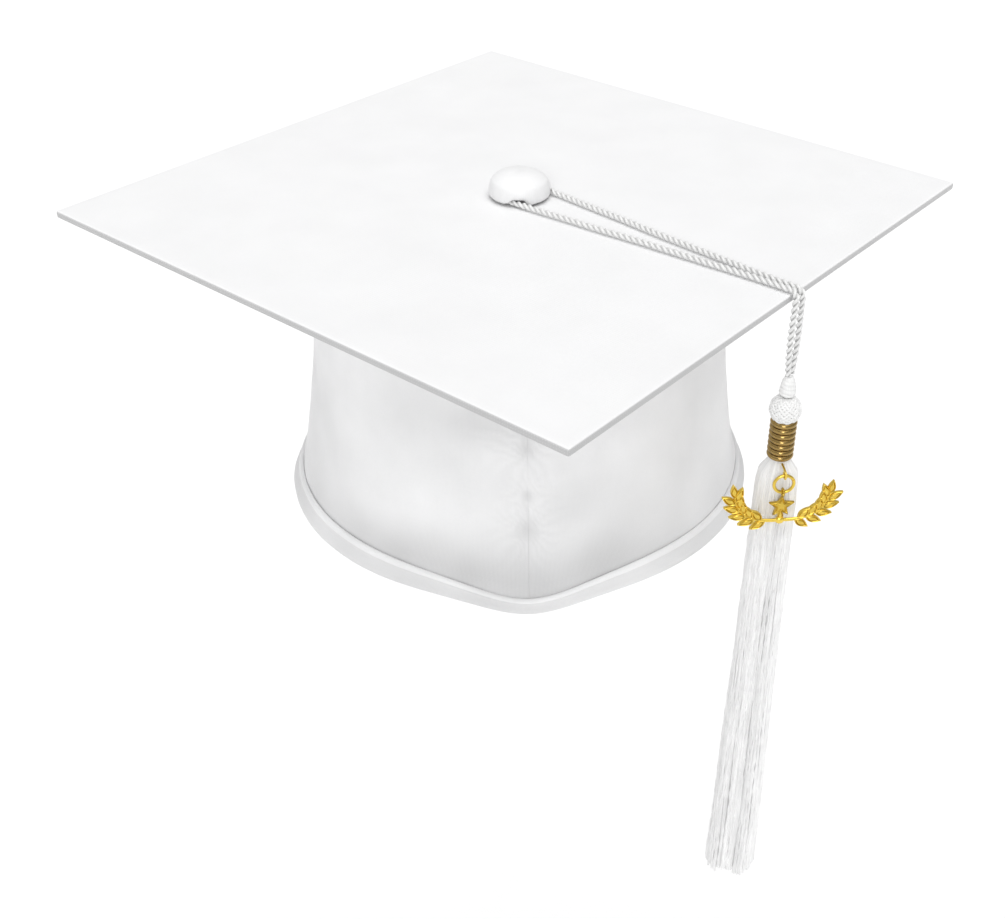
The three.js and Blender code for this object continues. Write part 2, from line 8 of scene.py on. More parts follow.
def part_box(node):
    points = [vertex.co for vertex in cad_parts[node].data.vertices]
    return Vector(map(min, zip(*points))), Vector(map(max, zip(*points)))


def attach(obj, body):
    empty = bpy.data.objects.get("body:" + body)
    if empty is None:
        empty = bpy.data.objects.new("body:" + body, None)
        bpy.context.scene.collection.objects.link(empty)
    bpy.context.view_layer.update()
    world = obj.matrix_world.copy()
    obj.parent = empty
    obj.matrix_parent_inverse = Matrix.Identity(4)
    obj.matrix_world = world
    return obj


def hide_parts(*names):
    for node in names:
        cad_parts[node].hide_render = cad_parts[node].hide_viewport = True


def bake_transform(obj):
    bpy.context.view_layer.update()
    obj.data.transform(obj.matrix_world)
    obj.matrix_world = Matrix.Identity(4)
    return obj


# The looks of a white academic cap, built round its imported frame.
# Metres, +Z up. The front of the cap faces -Y, and the wearer's left is +X.

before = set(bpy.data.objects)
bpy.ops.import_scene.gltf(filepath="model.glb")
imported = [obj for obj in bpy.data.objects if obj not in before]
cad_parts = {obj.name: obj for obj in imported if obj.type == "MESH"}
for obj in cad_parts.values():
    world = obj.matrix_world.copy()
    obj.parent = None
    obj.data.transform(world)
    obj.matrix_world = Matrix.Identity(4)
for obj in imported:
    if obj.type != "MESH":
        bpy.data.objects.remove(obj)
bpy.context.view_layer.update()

MM = 0.001
random = np.random.default_rng(11)

# ---- Places and sizes, from the frame ----

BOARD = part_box("board_top_cover")
BOARD_TOP = BOARD[1].z
BOARD_HALF = BOARD[1].x / math.sqrt(2)
FOLD_BOTTOM = BOARD[0].z
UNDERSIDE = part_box("board_underside_cover")
CROWN_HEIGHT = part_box("crown_left_panel")[1].z
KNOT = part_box("tassel_knot")
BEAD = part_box("tassel_bead_cover")
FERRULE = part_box("ferrule")
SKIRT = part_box("tassel_skirt")
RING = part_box("charm_ring")
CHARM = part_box("charm")
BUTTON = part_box("button_cover")
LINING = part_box("crown_tip_lining")

TASSEL_AXIS = Vector(((KNOT[0].x + KNOT[1].x) / 2, (KNOT[0].y + KNOT[1].y) / 2, 0))
TOWARDS_EDGE = Vector((1, -1, 0)).normalized()
ALONG_EDGE = Vector((1, 1, 0)).normalized()

# The crown's curve, as in the CAD model
CROWN_TOP_RADIUS = 79.2 * MM
CROWN_SPREAD = 12.2 * MM
HEM_FLARE = 3 * MM
HEM_FLARE_HEIGHT = 6 * MM
FRONT_TO_BACK = 0.96
FRONT_DIP = 5.1 * MM
FRONT_DIP_ANGLE = 0.26
FRONT_KEEL = 1.5 * MM
FRONT_KEEL_ANGLE = 0.18
CROWN_TURN = -0.045
SEAM_HALF_GAP = 0.0002
HEM_BAND_TOP = 7.8 * MM
FRONT_BAND_DROP = 3.4 * MM

# The loop cord's route, as in the CAD model
CORD_DIAMETER = 2.4 * MM
CORD_HEIGHT = BOARD_TOP + 1.6 * MM
CORD_BEND_RADIUS = 2.7 * MM
CORD_BEND_START = BOARD_HALF - 0.75 * MM
STRAND_OFFSET = 1.35 * MM
LOOP_RADIUS = 8.8 * MM
HANG_BOTTOM = KNOT[1].z + 0.3 * MM
STRAND_ROUTE = [
    *[(112, 1.5), (100, 2.1), (86, 3.1), (72, 3.9), (58, 4.8)],
    *[(44, 6.1), (30, 7), (17, 8), (7, 8.7)],
]

CLOTH_WHITE = (0.86, 0.86, 0.865)
CORD_WHITE = (0.87, 0.87, 0.865)
STRAND_WHITE = (0.93, 0.93, 0.93)
INNER_WHITE = (0.78, 0.775, 0.75)

# A fold sharper than this shows as an edge
SHARP_EDGE = math.radians(62)


# ---- Mesh code ----


def smooth_share(low, high, value):
    share = np.clip((value - low) / (high - low), 0, 1)
    return share * share * (3 - 2 * share)


def undulation(points, size, seed):
    """Smooth heights from about -1 to 1 that vary over the given size."""
    offset = Vector((seed * 7.3, seed * 3.1, seed * 5.7))
    values = [noise.noise(Vector(point) / size + offset) for point in points.reshape(-1, 3)]
    return np.array(values).reshape(points.shape[:-1])


def distances(points, axis, closed):
    """How far it is along a grid of points, from its first to each next one."""
    steps = np.linalg.norm(np.roll(points, -1, axis) - points, axis=2).mean(1 - axis)
    if not closed:
        steps = steps[:-1]
    return np.concatenate([[0], np.cumsum(steps)])


def skin(rings, joined=False, ends="fan"):
    """A closed skin through rings of points: (points, faces, each face corner's flat place in metres).

    Every ring closes on itself. joined closes the last ring onto the first. ends says how the first and
    the last ring are closed: with a fan about their middle, with one plate, or with a ladder between a
    layer's two sides.
    """
    count, around = rings.shape[:2]
    ring, point = np.meshgrid(np.arange(count if joined else count - 1), np.arange(around), indexing="ij")
    ring, point = ring.ravel(), point.ravel()
    next_ring, next_point = (ring + 1) % count, (point + 1) % around
    corners = [(ring, point), (ring, next_point), (next_ring, next_point), (next_ring, point)]
    faces = np.stack([a * around + b for a, b in corners], axis=1).tolist()
    across, along = distances(rings, 1, True), distances(rings, 0, joined)
    flat_corners = [(ring, point), (ring, point + 1), (ring + 1, point + 1), (ring + 1, point)]
    flat = np.stack([np.stack([across[b], along[a]], axis=1) for a, b in flat_corners], axis=1)
    flat = flat.reshape(-1, 2).tolist()
    points = rings.reshape(-1, 3).tolist()
    if not joined:
        for first, outwards in ((0, False), ((count - 1) * around, True)):
            closing = end_faces(first, around, ends, len(points))
            if ends == "fan":
                points.append(rings[first // around].mean(0).tolist())
            closing = closing if outwards else [face[::-1] for face in closing]
            faces += closing
            reached = along[-1 if outwards else 0]
            flat += [(across[corner % around], reached) for face in closing for corner in face]
    return points, faces, flat


def end_faces(first, around, ends, middle):
    if ends == "fan":
        return [[first + i, first + (i + 1) % around, middle] for i in range(around)]
    if ends == "plate":
        return [list(range(first, first + around))]
    sides = range(around // 2 - 1)
    return [[first + i, first + i + 1, first + around - 2 - i, first + around - 1 - i] for i in sides]


def built(name, skins, look, body, stands_for, shade=None):
    """One piece made of closed skins, with its material, its body and the CAD nodes that it stands for.
    shade is how light each point is painted, from 0 to 1: painted shade for most pieces, and tone that
    differs at random for some."""
    points, faces, flat = [], [], []
    for skin_points, skin_faces, skin_flat in skins:
        start = len(points)
        points += skin_points
        faces += [[corner + start for corner in face] for face in skin_faces]
        flat += skin_flat
    if signed_volume(np.array(points), faces) < 0:
        faces = [face[::-1] for face in faces]
        flat = reversed_corners(flat, faces)
    mesh = bpy.data.meshes.new(name)
    mesh.from_pydata(points, [], faces)
    cloth_map = mesh.uv_layers.new(name="cloth")
    cloth_map.data.foreach_set("uv", np.array(flat, np.float32).ravel())
    mesh.shade_smooth()
    mesh.set_sharp_from_angle(angle=SHARP_EDGE)
    # Painted shade, and for some pieces random tone, kept as the shade attribute that the materials multiply
    # into their colour
    lightness = np.ones(len(points), np.float32)
    if shade is not None:
        lightness[:shade.size] = shade.ravel()
    mesh.attributes.new("shade", "FLOAT", "POINT").data.foreach_set("value", lightness)
    mesh.materials.append(LOOKS[look])
    piece = added(name, mesh)
    if body:
        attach(piece, body)
    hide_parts(*stands_for)
    return piece


def signed_volume(points, faces):
    fans = [(face[0], face[i], face[i + 1]) for face in faces for i in range(1, len(face) - 1)]
    a, b, c = (points[np.array(fans)[:, i]] for i in range(3))
    return float(np.einsum("ij,ij->i", a, np.cross(b, c)).sum())


def reversed_corners(flat, faces):
    turned, start = [], 0
    for face in faces:
        turned += flat[start:start + len(face)][::-1]
        start += len(face)
    return turned


def circles(profile, count, centre=(0, 0, 0), squeeze=1.0):
    """Rings of points round an upright axis, one for each (radius, height) of a profile."""
    angles = np.linspace(0, 2 * math.pi, count, endpoint=False)
    x, y = np.cos(angles), np.sin(angles) * squeeze
    rings = [np.stack([r * x, r * y, np.full(count, z)], axis=1) for r, z in profile]
    return np.array(rings) + np.array(centre)


def through(points, step):
    """Points along a smooth curve that passes through the given ones."""
    points = np.array(points, float)
    padded = np.vstack([2 * points[0] - points[1], points, 2 * points[-1] - points[-2]])
    made = []
    for a, b, c, d in zip(padded, padded[1:], padded[2:], padded[3:]):
        t = np.linspace(0, 1, max(2, math.ceil(np.linalg.norm(c - b) / step) + 1))[:-1, None]
        bend = (2 * a - 5 * b + 4 * c - d) * t**2 + (3 * b - a - 3 * c + d) * t**3
        made.append(0.5 * (2 * b + (c - a) * t + bend))
    return np.vstack([*made, points[-1:]])


def tube(path, radius, sides, spin=0.0):
    """Rings of points about a path. radius is a number, or a function of the distance along the path and
    the angle round it. spin is the angle that the section turns by in each metre."""
    path = np.asarray(path, float)
    tangents = np.gradient(path, axis=0)
    tangents /= np.linalg.norm(tangents, axis=1)[:, None]
    along = np.concatenate([[0], np.cumsum(np.linalg.norm(np.diff(path, axis=0), axis=1))])
    angles = np.linspace(0, 2 * math.pi, sides, endpoint=False)
    normal = np.cross(tangents[0], (0.31, 0.87, 0.39))
    rings = []
    for centre, tangent, distance in zip(path, tangents, along):
        normal = normal - normal.dot(tangent) * tangent
        normal /= np.linalg.norm(normal)
        side = np.cross(tangent, normal)
        reach = radius(distance, angles) if callable(radius) else np.full(sides, radius)
        turned = angles + spin * distance
        section = np.cos(turned)[:, None] * normal + np.sin(turned)[:, None] * side
        rings.append(centre + reach[:, None] * section)
    return np.array(rings)


def added(name, data):
    """A new object in the scene."""
    made = bpy.data.objects.new(name, data)
    bpy.context.collection.objects.link(made)
    return made


def board_point(towards, along, height):
    return TOWARDS_EDGE * towards + ALONG_EDGE * along + Vector((0, 0, height))


# ---- Materials ----


def new_look(name, colour, roughness, metallic=0.0, sheen=0.0, specular=0.5):
    look = bpy.data.materials.new(name)
    look.use_nodes = True
    shader = look.node_tree.nodes["Principled BSDF"]
    values = {"Base Color": (*colour, 1), "Roughness": roughness, "Metallic": metallic}
    values |= {"Sheen Weight": sheen, "Sheen Roughness": 0.4, "Specular IOR Level": specular}
    for key, value in values.items():
        shader.inputs[key].default_value = value
    return look, look.node_tree


def node(tree, kind, settings=None, **inputs):
    """A shader node. Its inputs are values, or outputs of other nodes."""
    made = tree.nodes.new(kind)
    for key, value in (settings or {}).items():
        setattr(made, key, value)
    for key, value in inputs.items():
        socket = made.inputs[int(key[1:])] if key[1:].isdigit() else made.inputs[key.replace("_", " ")]
        if isinstance(value, bpy.types.NodeSocket):
            tree.links.new(value, socket)
        else:
            socket.default_value = value
    return made


def maths(tree, operation, a, b=0.0):
    return node(tree, "ShaderNodeMath", {"operation": operation}, i0=a, i1=b).outputs[0]


def between(tree, share, low, high):
    """A number that goes from low to high as share goes from 0 to 1."""
    return node(tree, "ShaderNodeMapRange", Value=share, To_Min=low, To_Max=high).outputs[0]


def shaded(tree, share, dark, light):
    """A colour that goes from dark to light as share goes from 0 to 1."""
    ramp = tree.nodes.new("ShaderNodeValToRGB")
    ramp.color_ramp.elements[0].color = (*dark, 1)
    ramp.color_ramp.elements[1].color = (*light, 1)
    tree.links.new(share, ramp.inputs[0])
    return ramp.outputs[0]


def tinted(colour, by):
    return tuple(channel * by for channel in colour)


def speckled(tree, place, scale, detail=2.0):
    """Smooth random spots, from 0 to 1."""
    return node(tree, "ShaderNodeTexNoise", Vector=place, Scale=scale, Detail=detail).outputs[0]


def own_place(tree):
    return node(tree, "ShaderNodeTexCoord").outputs["Object"]


def placed(tree, place, **change):
    """A place that is turned or stretched."""
    return node(tree, "ShaderNodeMapping", Vector=place, **change).outputs[0]


def mixed(tree, *parts):
    """The sum of some numbers, each with its weight."""
    total = maths(tree, "MULTIPLY", *parts[0])
    for part in parts[1:]:
        total = maths(tree, "ADD", total, maths(tree, "MULTIPLY", *part))
    return total


def own_shade(tree):
    """The painted light and shade that the piece's shade attribute gives a point."""
    return node(tree, "ShaderNodeAttribute", {"attribute_name": "shade"}).outputs["Fac"]


def lit(tree, colour, lightness):
    return node(tree, "ShaderNodeVectorMath", {"operation": "SCALE"}, i0=colour, Scale=lightness).outputs[0]


def cloth_place(tree, flat):
    """Where a point lies on the cloth, in metres: by the piece's flat coordinates, or by its place in
    the cap, turned so that the threads run along the board's edges."""
    if flat:
        return node(tree, "ShaderNodeUVMap", {"uv_map": "cloth"}).outputs[0]
    return placed(tree, own_place(tree), Rotation=(0, 0, math.pi / 4))


def weave(tree, place, pitch):
    """The height of a plain weave, from 0 to 1: threads that pass over and under each other."""
    axes = node(tree, "ShaderNodeSeparateXYZ", Vector=place)
    rate = math.pi / pitch
    waves = [maths(tree, "SINE", maths(tree, "MULTIPLY", axis, rate)) for axis in axes.outputs]
    crossing = maths(tree, "MULTIPLY", waves[0], waves[1])
    upright = maths(tree, "MULTIPLY", maths(tree, "ADD", waves[0], waves[1]), waves[2])
    both = maths(tree, "ADD", crossing, upright)
    return between(tree, maths(tree, "ABSOLUTE", both), 0.0, 1.0)


def finished(look, colour, roughness, height, relief, strength):
    """Joins a look's colour, roughness and bumps to its shader, and gives the look back."""
    tree = look.node_tree
    shader = tree.nodes["Principled BSDF"]
    bump = node(tree, "ShaderNodeBump", Height=height, Distance=relief, Strength=strength)
    tree.links.new(colour, shader.inputs["Base Color"])
    tree.links.new(roughness, shader.inputs["Roughness"])
    tree.links.new(bump.outputs[0], shader.inputs["Normal"])
    return look


def cloth_look(
    name, colour, pitch=0.55 * MM, flat=True, relief=0.05 * MM, sheen=0.25, roughness=0.62, uneven=0.08
):
    """Woven cloth: threads, softly uneven dye and a faint sheen. Painted shade from the piece's shade
    attribute darkens its folds, hollows and edges, and the threads show more there."""
    look, tree = new_look(name, colour, roughness, sheen=sheen, specular=0.35)
    place = cloth_place(tree, flat)
    threads = weave(tree, place, pitch)
    clouds = speckled(tree, place, 42.0, 3.0)
    slubs = speckled(tree, place, 900.0)
    tone = mixed(tree, (threads, 0.25), (clouds, 0.6), (slubs, 0.15))
    dyed = shaded(tree, tone, tinted(colour, 1 - uneven), tinted(colour, 1 + uneven * 0.6))
    # The shade attribute paints shade into the cloth's colour; the threads show more where it is darker
    shade = own_shade(tree)
    painted_darkness = maths(tree, "SUBTRACT", 1.0, shade)
    threaded = maths(tree, "MULTIPLY", painted_darkness, maths(tree, "SUBTRACT", threads, 0.5))
    colour = lit(tree, dyed, mixed(tree, (shade, 1.0), (threaded, 0.35)))
    height = mixed(tree, (threads, 1.0), (slubs, 0.6))
    worn = between(tree, slubs, roughness - 0.1, roughness + 0.12)
    return finished(look, colour, worn, height, relief, 0.6)


def yarn_look(name, colour, fibre=0.12 * MM, sheen=0.35, groove=0.85):
    """Shiny spun yarn: fine fibres along its length, and threads that differ a little in lightness."""
    look, tree = new_look(name, colour, 0.5, sheen=sheen, specular=0.4)
    place = cloth_place(tree, True)
    fibres = speckled(tree, placed(tree, place, Scale=(1, 0.12, 1)), 0.35 / fibre)
    patches = speckled(tree, place, 160.0)
    tone = mixed(tree, (fibres, 0.6), (patches, 0.4))
    spun = shaded(tree, tone, tinted(colour, groove), tinted(colour, 1.06))
    # The piece's shade attribute paints shade into the yarn's colour
    colour = lit(tree, spun, own_shade(tree))
    return finished(look, colour, between(tree, fibres, 0.35, 0.65), fibres, 0.06 * MM, 0.7)


def metal_look(name, bright, dark, roughness):
    """Plated metal: painted shade in its hollows, tarnish in patches, and fine scratches."""
    look, tree = new_look(name, bright, roughness, metallic=1.0)
    place = own_place(tree)
    patches = speckled(tree, place, 260.0, 3.0)
    scratches = speckled(tree, place, 2100.0, 4.0)
    # Pointiness paints the hollows darker than the ridges: painted shade; the patches are tarnish
    hollow = node(tree, "ShaderNodeNewGeometry").outputs["Pointiness"]
    raised = node(tree, "ShaderNodeMapRange", Value=hollow, From_Min=0.42, From_Max=0.56).outputs[0]
    tarnish_and_painted_shade = shaded(tree, mixed(tree, (raised, 0.75), (patches, 0.3)), dark, bright)
    worn = between(tree, scratches, roughness - 0.08, roughness + 0.14)
    return finished(look, tarnish_and_painted_shade, worn, scratches, 0.02 * MM, 0.5)


def grained_look(name, light, dark, scale, stretch, roughness, metallic=0.0):
    """Board, wood or brushed steel: a grain that is stretched one way."""
    look, tree = new_look(name, light, roughness, metallic=metallic)
    grain = speckled(tree, placed(tree, own_place(tree), Scale=stretch), scale, 5.0)
    grained = shaded(tree, grain, dark, light)
    worn = between(tree, grain, roughness - 0.1, roughness + 0.1)
    return finished(look, grained, worn, grain, 0.05 * MM, 0.5)


SWEATBAND_WHITE = tinted(INNER_WHITE, 1.05)
STEEL, DARK_STEEL = (0.72, 0.73, 0.74), (0.5, 0.5, 0.51)
GREYBOARD, DARK_GREYBOARD = (0.5, 0.47, 0.41), (0.36, 0.33, 0.28)
WOOD, DARK_WOOD = (0.72, 0.55, 0.36), (0.5, 0.33, 0.18)
CORD_SHADOW, FELT_SHADOW = tinted(CORD_WHITE, 0.8), tinted(INNER_WHITE, 0.85)

LOOKS = {
    "board_cloth": cloth_look("board_cloth", CLOTH_WHITE, flat=False, pitch=0.5 * MM),
    "crown_cloth": cloth_look("crown_cloth", CLOTH_WHITE, pitch=0.45 * MM, uneven=0.14),
    "lining": cloth_look("lining_cloth", INNER_WHITE, pitch=0.9 * MM, relief=0.1 * MM, sheen=0.1),
    "tape": cloth_look("tape_cloth", INNER_WHITE, pitch=0.5 * MM, sheen=0.3, roughness=0.5),
    "sweatband": cloth_look("sweatband_cloth", SWEATBAND_WHITE, pitch=0.6 * MM, sheen=0.4, roughness=0.45),
    "elastic": cloth_look("elastic_cloth", CLOTH_WHITE, pitch=0.8 * MM, relief=0.15 * MM, roughness=0.7),
    "cord": yarn_look("cord_yarn", CORD_WHITE, groove=0.8),
    "strands": yarn_look("strand_yarn", STRAND_WHITE, fibre=0.2 * MM, sheen=0.3, groove=0.88),
    "gold": metal_look("gold_plate", (0.9, 0.66, 0.12), (0.34, 0.2, 0.02), 0.28),
    # The ferrule's gold is coloured darker than the ring's: painted dark reflection, with painted shade in
    # its hollows
    "bronze": metal_look("gold_with_painted_reflection", (0.5, 0.34, 0.12), (0.05, 0.028, 0.01), 0.2),
    "steel": grained_look("brushed_steel", STEEL, DARK_STEEL, 900.0, (1, 0.1, 1), 0.35, 1.0),
    "board": grained_look("greyboard", GREYBOARD, DARK_GREYBOARD, 700.0, (1, 1, 0.2), 0.85),
    "wood": grained_look("turned_wood", WOOD, DARK_WOOD, 500.0, (1, 1, 0.1), 0.5),
    "cad_cord": grained_look("inner_cord", CORD_WHITE, CORD_SHADOW, 900.0, (1, 1, 0.3), 0.7),
    "cad_lining": grained_look("tip_felt", INNER_WHITE, FELT_SHADOW, 1200.0, (1, 1, 1), 0.85),
}


# ---- Board ----

HOLE_RADIUS = 4.2 * MM
ROUND_WITHIN = 84 * MM
SQUARE_BEYOND = 100 * MM
CORNER_SHARPNESS = 500
EDGE_STEPS = 56
PAINTED_EDGE_SHADE = 0.43
TURNING = 14 * MM


def square_rings(profile):
    """Rings about the cap's axis, one for each (distance, height). They are circles near the middle, and
    squares with softly rounded corners further out."""
    share = np.sin(np.linspace(-math.pi / 2, math.pi / 2, EDGE_STEPS, endpoint=False))
    slants = np.arctan(share)
    angles = np.concatenate([slants + math.pi / 4 + quarter * math.pi / 2 for quarter in range(4)])
    slants = np.tile(slants, 4)
    corner = np.cos(slants) ** CORNER_SHARPNESS + np.abs(np.sin(slants)) ** CORNER_SHARPNESS
    to_square = corner ** (-1 / CORNER_SHARPNESS)
    rings = []
    for distance, height in profile:
        squareness = np.clip((distance - ROUND_WITHIN) / (SQUARE_BEYOND - ROUND_WITHIN), 0, 1)
        reach = distance * (1 + (to_square - 1) * squareness)
        level = np.full(len(angles), height)
        rings.append(np.stack([reach * np.cos(angles), reach * np.sin(angles), level], axis=1))
    return np.array(rings)


def arc(centre, radius, start, end, steps):
    """Points of a round corner in a profile, with its angles in degrees."""
    angles = np.radians(np.linspace(start, end, steps))
    return [(centre[0] + radius * math.cos(a), centre[1] + radius * math.sin(a)) for a in angles]


def make_board_top():
    """The top cloth, drawn over the board's edges and turned in under it."""
    cloth = 0.4 * MM
    outer_bend, inner_bend = 0.8 * MM, 0.5 * MM
    outer, inner = BOARD_HALF, BOARD_HALF - cloth
    top, inside_top = BOARD_TOP, BOARD_TOP - cloth
    low, inside_low = FOLD_BOTTOM, FOLD_BOTTOM + cloth
    fold_end = BOARD_HALF - TURNING
    inwards = np.linspace(outer - 3 * MM, HOLE_RADIUS, 26)
    profile = [
        (fold_end, low),
        (outer - 6 * MM, low),
        *arc((outer - outer_bend, low + outer_bend), outer_bend, -90, 0, 6),
        *arc((outer - outer_bend, top - outer_bend), outer_bend, 0, 90, 6),
        *[(distance, top) for distance in inwards],
        *[(distance, inside_top) for distance in inwards[::-3]],
        *arc((inner - inner_bend, inside_top - inner_bend), inner_bend, 90, 0, 4),
        *arc((inner - inner_bend, inside_low + inner_bend), inner_bend, 0, -90, 4),
        (fold_end, inside_low),
    ]
    rings = square_rings(profile)
    flat_top = slice(14, 14 + len(inwards))
    rings[flat_top, :, 2] += 0.12 * MM * undulation(rings[flat_top], 45 * MM, 1) - 0.05 * MM
    # Painted shade on the board's edges: the cloth below the flat top is coloured darker, as its side faces
    # get less light
    shade = 1 - PAINTED_EDGE_SHADE * (1 - smooth_share(top - 0.7 * MM, top - 0.05 * MM, rings[..., 2]))
    skins = [skin(rings, joined=True)]
    piece = built("board_top_cloth", skins, "board_cloth", "cap", ["board_top_cover"], shade)


def make_board_underside():
    """The cloth glued under the board, with a round opening where the crown is sewn in."""
    low, high = UNDERSIDE[0].z, UNDERSIDE[1].z
    opening = 82 * MM
    border = BOARD_HALF - 2.5 * MM
    across = np.linspace(opening + 0.3 * MM, border - 0.3 * MM, 14)
    profile = [
        (opening, low + 0.1 * MM),
        *[(distance, low) for distance in across],
        (border, low + 0.1 * MM),
        (border, high),
        *[(distance, high) for distance in across[::-2]],
        (opening, high),
    ]
    rings = square_rings(profile)
    pull = np.exp(-np.abs(across - opening) / (9 * MM))[:, None]
    low_side = rings[1:1 + len(across)]
    angles = np.arctan2(low_side[..., 1], low_side[..., 0])
    low_side[..., 2] += 0.12 * MM * np.abs(np.sin(23 * angles)) * pull
    skins = [skin(rings, joined=True)]
    piece = built("board_underside_cloth", skins, "board_cloth", "cap", ["board_underside_cover"])


# ---- Crown ----

FRONT, BACK = 0.0, math.pi

# The front seam's stitches that pinch the cloth: (share of the crown's height, size in mm)
PINCHES = ((0.64, 4.2), (0.58, 2.2), (0.53, 3.0), (0.375, 1.9), (0.26, 3.6))


def wrapped(angle):
    """The same angle, between -pi and pi."""
    return np.arctan2(np.sin(angle), np.cos(angle))


def bell(value, size):
    """1 at zero, and less and less further away."""
    return np.exp(-((value / size) ** 2))


def crown_point(angle, height, outward):
    """A point of the crown, by its angle from the front seam towards the wearer's left, its height above
    the hem, and its distance outward from the cloth's outer face."""
    fall = 1 - height / CROWN_HEIGHT
    dip = FRONT_DIP * bell(wrapped(angle), FRONT_DIP_ANGLE) * fall
    keel = FRONT_KEEL * bell(wrapped(angle), FRONT_KEEL_ANGLE) * fall
    radius = CROWN_TOP_RADIUS + CROWN_SPREAD * fall**2 + HEM_FLARE * np.exp(-height / HEM_FLARE_HEIGHT)
    reach = radius + keel + outward
    turned = angle + CROWN_TURN
    x, y = reach * np.sin(turned), -reach * np.cos(turned) * FRONT_TO_BACK
    return np.stack([x, y, height - dip], axis=-1)


def crown_layer(outer, inner, heights, angles, steps, relief=None, shading=None):
    """A layer of the crown between two angles, and the painted shade that shading gives it. relief says how
    far it stands out at an angle and a height."""
    outward = np.concatenate([np.full(len(heights), outer), np.full(len(heights), inner)])
    levels = np.concatenate([heights, heights[::-1]])
    angle = np.linspace(*angles, steps)[:, None] + np.zeros(len(levels))
    level = levels + np.zeros_like(angle)
    rings = crown_point(angle, level, outward)
    shade = shading(angle, level, rings) if shading else None
    if relief:
        rings = crown_point(angle, level, outward + relief(angle, level, rings))
    return skin(rings, ends="ladder"), shade


def from_seam(angle, seam):
    """The distance round the crown to a seam."""
    return np.abs(wrapped(angle - seam)) * CROWN_TOP_RADIUS * 1.1


def hem_band_top(angle):
    """The height of the hem band's upper edge. The band is narrower at the front."""
    return HEM_BAND_TOP - FRONT_BAND_DROP * bell(wrapped(angle), 0.42)


def pinching(front, height):
    """How strongly the front seam's stitches pinch the cloth, from 0 to 1."""
    free = np.ones_like(height)
    for place, size in PINCHES:
        free *= 1 - bell(np.hypot(front, (height - place * CROWN_HEIGHT) * 0.8), size * MM)
    return 1 - free


def wrinkling(front, height, points):
    """Fine wrinkles that spread from the strongest pinches, from -1 to 1."""
    wrinkles = np.zeros_like(height)
    for place, size in ((0.56, 15 * MM), (0.37, 8 * MM), (0.25, 11 * MM)):
        rise = height - place * CROWN_HEIGHT
        away = np.hypot(front, rise)
        rays = np.sin(19 * np.arctan2(rise, front + 0.5 * MM) + 6 * undulation(points, 9 * MM, 14))
        wrinkles += rays * bell(away, size) * smooth_share(1 * MM, 5 * MM, away)
    return wrinkles


def hollowing(points):
    """Soft hollows and swells all over the cloth, from about -1 to 1."""
    return 0.65 * undulation(points, 40 * MM, 3) + 0.4 * undulation(points, 17 * MM, 5)


def panel_relief(angle, height, points):
    """How the outer cloth stands out: hollows, wrinkles by the seams, and the front seam's pinches."""
    above_band = height - hem_band_top(angle)
    free = smooth_share(-2.5 * MM, 4 * MM, above_band)
    front, back = from_seam(angle, FRONT), from_seam(angle, BACK)
    seams = (1 - 0.45 * bell(front, 3 * MM)) * (1 - 0.6 * bell(back, 3 * MM))
    folds = angle * CROWN_TOP_RADIUS / (2.1 * MM) + 5 * undulation(points, 30 * MM, 12)
    gathers = 0.35 * np.sin(folds) * np.exp(-((CROWN_HEIGHT - height) / (20 * MM)))
    fine = 0.12 * undulation(points * np.array([1, 1, 0.45]), 4.5 * MM, 8)
    swell = np.clip(0.75 + 1.15 * hollowing(points) + fine, 0.05, 2.6)
    wrinkles = 0.22 * wrinkling(front, height, points)
    tucked = 0.5 * bell(above_band - 1 * MM, 2.5 * MM)
    return (swell * seams * (1 - 0.9 * pinching(front, height)) + gathers + wrinkles + tucked) * free * MM


def panel_shading(angle, height, points):
    """The painted light and shade of the outer cloth, from 0 to 1: painted shade in its hollows, round the
    stitches, under the board and just above the hem band at the front, and painted light and shade along the
    wrinkles."""
    front = from_seam(angle, FRONT)
    hollows = smooth_share(-0.9, 0.7, hollowing(points))
    ahead = 0.25 + 0.75 * bell(wrapped(angle) + 0.15, 0.75)
    above_band = bell(np.maximum(height - HEM_BAND_TOP, 0), 13 * MM) * ahead
    under_board = bell(CROWN_HEIGHT - height, 34 * MM)
    gathered_front = bell(wrapped(angle) + 0.14, 0.24) * bell(height - 70 * MM, 9 * MM)
    shade = 0.9 + 0.14 * hollows - 0.29 * above_band - 0.06 * under_board - 0.14 * gathered_front
    return shade - 0.15 * pinching(front, height) + 0.035 * wrinkling(front, height, points)


def make_panels():
    """The crown's two outer panels, which meet at the front and the back seam."""
    heights = np.concatenate([np.linspace(0.9 * MM, 12 * MM, 6), np.linspace(13.5 * MM, CROWN_HEIGHT, 80)])
    for side, start in (("left", FRONT), ("right", BACK)):
        angles = (start + SEAM_HALF_GAP, start + math.pi - SEAM_HALF_GAP)
        layer, shade = crown_layer(0, -0.9 * MM, heights, angles, 300, panel_relief, panel_shading)
        piece = built(f"crown_{side}_cloth", [layer], "crown_cloth", "cap", [f"crown_{side}_panel"], shade)


def hem_section():
    """The band's cross-section. Its rolled top and its face are given as (outward, share of the band's
    height), and the rest, the fold below and a shorter leg inside the crown, as (outward, height), all
    in millimetres."""
    roll = [(0.3, 0.88), (0.4, 0.95), (0.75, 1), (1.2, 1), (1.65, 0.97), (1.95, 0.9), (2, 0.82), (1.8, 0.74)]
    face = [(1.5, 0.68), (1.3, 0.6), (1.25, 0.48), (1.35, 0.34), (1.5, 0.22), (1.55, 0.12)]
    fold = [(1.4, -0.05), (1.1, -0.38), (0.6, -0.5), (-0.6, -0.5), (-1.3, -0.45), (-1.85, -0.25)]
    inside = [(-2.1, 0.2), (-2.1, 2), (-2.1, 5), (-2.1, 7.4)]
    back = [(-1.25, 7.4), (-1.25, 5), (-1.25, 2), (-1.2, 0.6), (0.3, 0.6)]
    return np.array(roll), np.array(face), np.array([*fold, *inside, *back])


